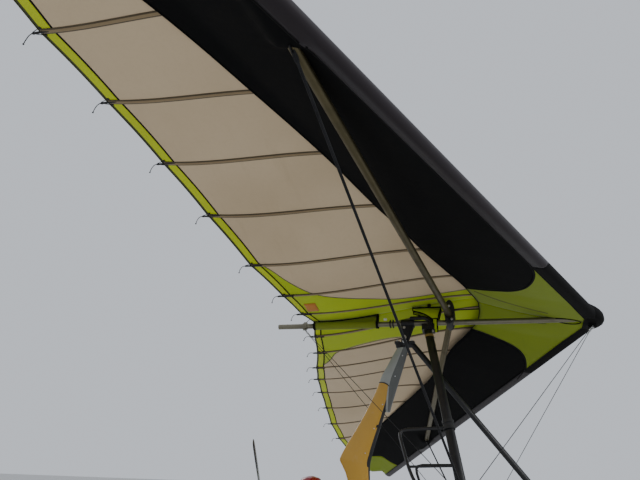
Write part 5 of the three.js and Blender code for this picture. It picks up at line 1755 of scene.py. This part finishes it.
def makeExhaust():
    x, z, portZ = silencer["x"], silencer["z"], silencer["portZ"]
    bm = bmesh.new()
    addTurned(bm, [(0, 0.900), (0.040, 0.902), (0.068, 0.914), (0.074, 0.930), (0.0755, 0.936),
                   (0.0755, 0.940), (0.074, 0.946), (0.074, 1.100), (0.0755, 1.104), (0.0755, 1.108),
                   (0.074, 1.112), (0.074, 1.296), (0.068, 1.316), (0.030, 1.330), (0.022, 1.334),
                   (0.022, 1.408), (0.0195, 1.408), (0.0195, 1.345), (0, 1.345)], (x, 0, z), (0, 1, 0), 48)
    for at in motor["cylinders"]:
        addTube(bm, [(x, at, z + 0.045), (x + 0.022, at, z + 0.105), (x + 0.075, at, 1.065),
                     (x + 0.140, at, portZ), (-0.1045, at, portZ)], 0.0215, 20, smooth=10)
        for along in (-0.150, -0.122):
            addTurned(bm, [(0.021, -0.003), (0.0245, -0.002), (0.0245, 0.002), (0.021, 0.003)],
                      (along, at, portZ), (1, 0, 0), 28, closed=True)
    makePiece("silencer", bm, "carriage", "exhaust", ["exhaust"], sharp=45)
    bm = bmesh.new()
    for at in motor["cylinders"]:
        addBox(bm, (0.006, 0.070, 0.052), (-0.1075, at, portZ), 0.002)
        for side in (-1, 1):
            addBolt(bm, (-0.1105, at + side * 0.028, portZ), (-1, 0, 0), 0.010)
            # short springs that hold the joint together
            coil = [(lerp(-0.152, -0.118, k / 60), at + side * 0.0305 + 0.0035 * math.cos(k * 1.05),
                     portZ + 0.0035 * math.sin(k * 1.05)) for k in range(61)]
            addTube(bm, coil, 0.0009, 6)
    for y in silencer["bands"]:
        addTurned(bm, [(0.0742, -0.008), (0.0762, -0.008), (0.0762, 0.008), (0.0742, 0.008)], (x, y, z),
                  (0, 1, 0), 48, closed=True)
        addRod(bm, (x + 0.070, y, z - 0.022), (-0.100, y, 0.8265), 0.006, sides=14)
        addBox(bm, (0.020, 0.024, 0.004), (-0.098, y, 0.8225), 0.001)
    makePiece("exhaust_fixings", bm, "carriage", "silver")


makeEngine()
engineFittings()
engineHoses()
engineMounts()
makeIntake()
makeRadiator()
makeExhaust()
print("engine made")


# Propeller

propeller = {
    "centre": (0, 1.565, 1.150), "firstBlade": math.radians(-32.5), "blades": 3,
    # radius: chord, thickness, twist in degrees
    "stations": [(0.050, 0.060, 0.040, 46), (0.095, 0.078, 0.033, 42), (0.150, 0.104, 0.026, 38),
                 (0.340, 0.150, 0.018, 26), (0.600, 0.138, 0.012, 18), (0.790, 0.104, 0.008, 14),
                 (0.835, 0.082, 0.0065, 13.2), (0.849, 0.050, 0.005, 13)],
}


def bladeTurn(blade):
    return Matrix.Rotation(propeller["firstBlade"] + blade * 2 * math.pi / propeller["blades"], 4, "Y")


def makePropeller():
    centre, rows = Vector(propeller["centre"]), propeller["stations"]
    bm = bmesh.new()
    radii = [lerp(rows[0][0], 0.80, k / 26) for k in range(27)] + [0.815, 0.828, 0.838, 0.845, 0.849]
    for blade in range(propeller["blades"]):
        turn = bladeTurn(blade)
        rings = []
        for r in radii:
            chord, thick, twist = readRows(rows, r)
            t = math.radians(twist)
            ring = []
            for angle in turns(28):
                along = chord / 2 * math.cos(angle)
                up = thick / 2 * math.sin(angle) * (1.2 + 0.6 * math.cos(angle))
                ring.append(centre + turn @ Vector((along * math.cos(t) - up * math.sin(t),
                                                    along * math.sin(t) + up * math.cos(t), r)))
            rings.append(ring)
        addSkin(bm, rings)
    makePiece("propeller_blades", bm, "propeller", "blade", ["propeller"], sharp=50)
    bm = bmesh.new()
    addTurned(bm, [(0, -0.046), (0.060, -0.046), (0.072, -0.038), (0.072, 0.030), (0.066, 0.038), (0, 0.038)],
              centre, (0, 1, 0), 44)
    addTurned(bm, [(0, 0.036), (0.067, 0.036), (0.067, 0.046), (0.064, 0.062), (0.055, 0.080), (0.040, 0.095),
                   (0.020, 0.106), (0, 0.109)], centre, (0, 1, 0), 44)
    makePiece("propeller_hub", bm, "propeller", "blackMetal", sharp=40)
    bm = bmesh.new()
    addAround(bm, centre, (0, 1, 0), 6, lambda mesh: addBolt(
        mesh, centre + Vector((0.050, -0.046, 0)), (0, -1, 0), 0.012))
    for blade in range(propeller["blades"]):
        turn = bladeTurn(blade)
        addBolt(bm, centre + turn @ Vector((0, -0.004, 0.0715)), turn @ Vector((0, 0, 1)), 0.010)
        for away in (-0.045, 0.045):
            out = turn @ Vector((away, 0, 0.056))
            addBolt(bm, centre + out, out, 0.009)
    makePiece("propeller_bolts", bm, "propeller", "silver")


makePropeller()


# Pod, its panel and screen

pod = {
    # y: half width, floor, top
    "stations": [(-1.700, 0.100, 0.486, 0.628), (-1.690, 0.112, 0.462, 0.640), (-1.620, 0.160, 0.430, 0.700),
                 (-1.490, 0.205, 0.412, 0.770), (-1.290, 0.244, 0.406, 0.836), (-1.040, 0.270, 0.405, 0.880),
                 (-0.690, 0.282, 0.405, 0.840), (-0.230, 0.284, 0.405, 0.700)],
    "tip": -1.715, "wall": 0.005, "round": 0.6, "openFrom": -0.870, "openFull": -0.740, "openHalf": 0.235,
    "band": (0.545, 0.575), "rim": 0.0075, "around": 96, "headHole": 0.047,
}


def podSection(y):
    return readRows(pod["stations"], y)


def podPoint(y, angle, grow=0.0):
    # angle runs from the top, towards the port side
    half, low, high = podSection(y)
    if y < pod["stations"][0][0]:
        shrink = math.sqrt(max(0, (y - pod["tip"]) / (pod["stations"][0][0] - pod["tip"])))
        mid = (low + high) / 2
        half, low, high = half * shrink, mid + (low - mid) * shrink, mid + (high - mid) * shrink
    c, s = math.sin(angle), math.cos(angle)

    def soft(value):
        return math.copysign(abs(value) ** pod["round"], value)
    return Vector(((half + grow) * soft(c), y, (low + high) / 2 + ((high - low) / 2 + grow) * soft(s)))


def podOpening(y):
    # half angle of the cockpit's opening at y
    if y <= pod["openFrom"]:
        return 0.0
    share = min(1, (y - pod["openFrom"]) / (pod["openFull"] - pod["openFrom"]))
    width = pod["openHalf"] * math.sqrt(1 - (1 - share) ** 2)
    half = podSection(y)[0]
    return math.asin(min(1, (width / half)) ** (1 / pod["round"]))


def makePod():
    places = [pod["tip"], -1.7148, -1.714, -1.712, -1.709, -1.705, -1.700, -1.695, -1.690]
    places += [lerp(-1.675, pod["openFrom"], k / 34) for k in range(35)]
    places += [pod["openFrom"] + (pod["openFull"] - pod["openFrom"]) * (k / 10) ** 2 for k in range(1, 11)]
    places += [lerp(pod["openFull"], -0.230, k / 22) for k in range(1, 23)]
    bm = bmesh.new()

    def place(s, t):
        y = places[round(t * (len(places) - 1))]
        opened = podOpening(y)
        return podPoint(y, lerp(opened, 2 * math.pi - opened, s))
    addSheet(bm, pod["around"], len(places) - 1, place)
    bmesh.ops.remove_doubles(bm, verts=bm.verts, dist=1e-5)
    # hole for the steering head
    head, lean = Vector(gear["head"]), gear["headRake"]
    turn = Vector((0, math.sin(lean), math.cos(lean)))
    gone = []
    for face in bm.faces:
        spot = face.calc_center_median() - head
        if spot.z < 0 and (spot - turn * spot.dot(turn)).length < pod["headHole"]:
            gone.append(face)
    bmesh.ops.delete(bm, geom=gone, context="FACES")
    bmesh.ops.recalc_face_normals(bm, faces=bm.faces)
    # the two colours meet on a straight line that rises to the nose
    low, high = pod["band"]
    start, stop = Vector((0, pod["tip"], high)), Vector((0, -0.230, low))
    above = Vector((1, 0, 0)).cross(stop - start).normalized()
    bmesh.ops.bisect_plane(bm, geom=bm.verts[:] + bm.edges[:] + bm.faces[:], plane_co=start, plane_no=above)
    for face in bm.faces:
        face.material_index = 1 if (face.calc_center_median() - start).dot(above) < 0 else 0
    piece = makePiece("pod_shell", bm, "carriage", ["yellow", "darkGreyAndPaintedShade", "plastic", "plastic"],
                      ["pod"], sharp=60, open=True)
    thicken(piece, pod["wall"], -1, 2)

    podRubbers(head, turn, [y for y in places if y > pod["openFrom"]])
    podFittings()


def podRubbers(head, turn, places):
    # edging of the cockpit and of the rear edge
    bm = bmesh.new()
    rim = [podPoint(y, podOpening(y), 0.001) for y in reversed(places)]
    rim.append(podPoint(pod["openFrom"], 0, 0.001))
    rim += [Vector((-p.x, p.y, p.z)) for p in reversed(rim[:-1])]
    addTube(bm, rim, pod["rim"], 12)
    opened = podOpening(-0.230)
    back = [podPoint(-0.230, lerp(opened, 2 * math.pi - opened, k / 72), -0.0025) for k in range(73)]
    addTube(bm, back, 0.0055, 10)
    # ring round the steering head below, and a boot where the strut comes through the deck
    foot = head + turn * ((podPoint(head.y, math.pi).z - head.z) / turn.z)
    addTurned(bm, [(0.043, -0.004), (0.058, -0.004), (0.058, 0.004), (0.043, 0.004)], foot, turn, 40,
              closed=True)
    a, b = Vector((0, -1.468, 0.497)), Vector((0, 0.298, 2.744))
    along = (b - a).normalized()
    # the strut meets the deck where their heights are the same
    low, high = -1.40, -1.05
    for _ in range(30):
        y = (low + high) / 2
        if a.z + (y - a.y) * along.z / along.y < podPoint(y, 0).z:
            low = y
        else:
            high = y
    spot = Vector((0, low, podPoint(low, 0).z))
    addTurned(bm, [(0.0258, 0.058), (0.030, 0.058), (0.031, 0.050), (0.034, 0.046), (0.034, 0.038),
                   (0.039, 0.034), (0.040, 0.026), (0.046, 0.020), (0.050, -0.004), (0.0258, -0.010)], spot,
              along, 36, closed=True)
    makePiece("pod_rubbers", bm, "carriage", "hose", sharp=60)


def podFittings():
    bm = bmesh.new()
    for side in (-1, 1):
        for y in (-1.58, -1.30, -1.02, -0.60, -0.36):
            spot = podPoint(y, side * 1.9)
            out = Vector((spot.x, 0, spot.z - 0.6)).normalized()
            addRod(bm, spot - out * 0.002, spot + out * 0.003, 0.0085, 0.006, 18)
        for y, z in [(-0.885, 0.855), (-0.885, 0.760)]:
            addRod(bm, (side * 0.150, y + 0.010, z), (side * 0.150, y + 0.0135, z), 0.006, 0.0045, 14)
    makePiece("pod_screws", bm, "carriage", "silver")
    # lamp in the nose
    bm = bmesh.new()
    addTurned(bm, [(0, -1.722), (0.020, -1.721), (0.034, -1.717), (0.040, -1.711), (0.040, -1.700),
                   (0, -1.700)],
              (0, 0, 0.556), (0, 1, 0), 36)
    makePiece("nose_lamp", bm, "carriage", "lamp")
    bm = bmesh.new()
    addTurned(bm, [(0.0395, -1.716), (0.045, -1.716), (0.046, -1.708), (0.045, -1.702), (0.0395, -1.702)],
              (0, 0, 0.556), (0, 1, 0), 36, closed=True)
    makePiece("nose_lamp_rim", bm, "carriage", "plastic")


dials = {  # x, z, radius, highest figure, needle's angle
    "rows": [(-0.105, 0.820, 0.038, 60, 0.62), (-0.015, 0.820, 0.038, 80, -0.5),
             (0.070, 0.832, 0.028, 8, 1.9), (0.132, 0.832, 0.022, 12, 0.2)],
    "faceY": -0.8745,
}


def makePanel():
    dress("instrument_panel", "plastic", 0.001)
    face = dials["faceY"]
    upright = Matrix.Rotation(math.pi, 4, "Z") @ Matrix.Rotation(math.pi / 2, 4, "X")
    rims, cards, marks = bmesh.new(), bmesh.new(), bmesh.new()
    for x, z, r, top, needle in dials["rows"]:
        centre = Vector((x, face, z))
        addTurned(rims, [(r - 0.004, 0), (r + 0.002, 0), (r + 0.002, 0.005), (r - 0.001, 0.008),
                         (r - 0.004, 0.006)],
                  centre, (0, 1, 0), 40, closed=True)
        addTurned(cards, [(0, 0.001), (r - 0.003, 0.001), (r - 0.003, 0.003), (0, 0.003)], centre, (0, 1, 0),
                  40)
        for k in range(11):
            angle = math.radians(225 - 27 * k)
            out = Vector((-math.cos(angle), 0, math.sin(angle)))
            turn = Matrix.Rotation(angle, 4, "Y")
            addBox(marks, (0.005, 0.0006, 0.0010), centre + out * (r * 0.78) + Vector((0, 0.0033, 0)), 0,
                   turn)
            if k % 5 == 0:
                place = centre + out * (r * 0.52) + Vector((0, 0.0031, 0))
                addText(marks, str(top * k // 10), place, upright, r * 0.30)
        tip = Vector((math.sin(needle), 0, math.cos(needle)))
        hub = centre + Vector((0, 0.0040, 0))
        addRod(marks, hub - tip * r * 0.15, hub + tip * r * 0.7, 0.0010, 0.0005, 8)
        addRod(rims, centre + Vector((0, 0.003, 0)), centre + Vector((0, 0.0052, 0)), 0.004, sides=16)
    for k in range(4):
        spot = Vector((-0.118 + 0.040 * k, face, 0.755))
        addRod(rims, spot, spot + Vector((0, 0.004, 0)), 0.0075, sides=20)
        addRod(rims, spot, spot + Vector((0, 0.018, 0.007)), 0.0022, 0.003, 12)
    spot = Vector((0.085, face, 0.760))
    addRod(rims, spot, spot + Vector((0, 0.005, 0)), 0.012, sides=24)
    addBox(rims, (0.003, 0.020, 0.014), spot + Vector((0, 0.015, 0)), 0.001)
    makePiece("dial_rims", rims, "carriage", "silver")
    makePiece("dial_cards", cards, "carriage", "blackMetal")
    makePiece("dial_marks", marks, "carriage", "white", sharp=30)


screen = {  # y: height, half width, how far the sides sweep back
    "rows": [(-1.040, 0.860, 0.192, 0.088), (-0.950, 0.935, 0.188, 0.086), (-0.870, 1.000, 0.176, 0.080),
             (-0.790, 1.066, 0.130, 0.054)],
    "thick": 0.003,
}


def screenPoint(s, t):
    rows = screen["rows"]
    across = 2 * s - 1
    y = lerp(rows[0][0], rows[-1][0], t)
    z, half, back = readRows(rows, y)
    return Vector((across * half, y + back * across ** 2, z))


def makeScreen():
    def foot(s):
        # the lowest share of the height at which the sheet stands clear of the deck
        for k in range(101):
            spot = screenPoint(s, k / 100)
            half, low, high = podSection(spot.y)
            lift = max(0, 1 - (abs(spot.x) / half) ** (2 / pod["round"])) ** (pod["round"] / 2)
            if spot.z > (low + high) / 2 + (high - low) / 2 * lift + 0.003:
                return k / 100
        return 1.0
    bm = bmesh.new()
    addSheet(bm, 40, 18, lambda s, t: screenPoint(s, lerp(foot(s), 1, t)))
    bmesh.ops.recalc_face_normals(bm, faces=bm.faces)
    thicken(makePiece("screen_sheet", bm, "carriage", "clear", ["windscreen"], open=True,
                      sharp=60), screen["thick"])
    bm = bmesh.new()
    edge = [screenPoint(k / 40, foot(k / 40)) for k in range(41)]
    edge += [screenPoint(1, lerp(foot(1), 1, k / 10)) for k in range(1, 10)]
    edge += [screenPoint(1 - k / 40, 1) for k in range(41)]
    edge += [screenPoint(0, lerp(1, foot(0), k / 10)) for k in range(1, 10)]
    addTube(bm, edge, 0.0035, 8, closed=True)
    makePiece("screen_edging", bm, "carriage", "hose", sharp=60)
    bm = bmesh.new()
    for s in (0.08, 0.3, 0.7, 0.92):
        low = foot(s) + 0.10
        spot = screenPoint(s, low)
        out = (screenPoint(s, foot(s) + 0.12) - spot).cross(screenPoint(s + 0.02, low) - spot).normalized()
        addRod(bm, spot - out * 0.004, spot + out * 0.004, 0.0065, sides=16)
    makePiece("screen_screws", bm, "carriage", "silver")


def makeFootBar():
    dress("foot_bar", "silver", 0.001)
    bm = bmesh.new()
    for side in (-1, 1):
        addTurned(bm, [(0.0112, 0.095), (0.017, 0.097), (0.018, 0.105), (0.018, 0.200), (0.017, 0.208),
                       (0.0112, 0.210)], (0, -1.040, 0.560), (side, 0, 0), 28, closed=True)
        addRod(bm, (side * 0.208, -1.040, 0.560), (side * 0.216, -1.040, 0.560), 0.019, sides=28)
    makePiece("foot_bar_grips", bm, "carriage", "foam")


makePod()
makePanel()
makeScreen()
makeFootBar()
print("pod made")


# Floor and light

def makeStage():
    bm = bmesh.new()
    bmesh.ops.create_grid(bm, x_segments=1, y_segments=1, size=90)
    mesh = bpy.data.meshes.new("floor")
    bm.to_mesh(mesh)
    bm.free()
    made, place = startMaterial("paleFloor")
    soft = place.noise(0.8, 3).ramp(0.3, 0.7)
    mesh.materials.append(endMaterial(made, place, soft.mix((0.60, 0.60, 0.59), (0.64, 0.64, 0.63)), 0.8))
    floor = bpy.data.objects.new("floor", mesh)
    bpy.context.scene.collection.objects.link(floor)
    world = bpy.data.worlds.new("studio")
    bpy.context.scene.world = world
    world.use_nodes = True
    world.node_tree.nodes["Background"].inputs["Color"].default_value = (0.76, 0.80, 0.87, 1)
    world.node_tree.nodes["Background"].inputs["Strength"].default_value = 0.85
    for label, place, size, power, aim in [("key", (-9, -13, 13), 9, 1500, (0, 0, 2)),
                                           ("rim", (8, 12, 11), 9, 700, (0, 0, 2))]:
        lamp = bpy.data.lights.new(label, "AREA")
        lamp.size, lamp.energy = size, power
        holder = bpy.data.objects.new(label, lamp)
        holder.location = place
        holder.rotation_euler = (Vector(aim) - Vector(place)).to_track_quat("-Z", "Y").to_euler()
        bpy.context.scene.collection.objects.link(holder)


makeStage()
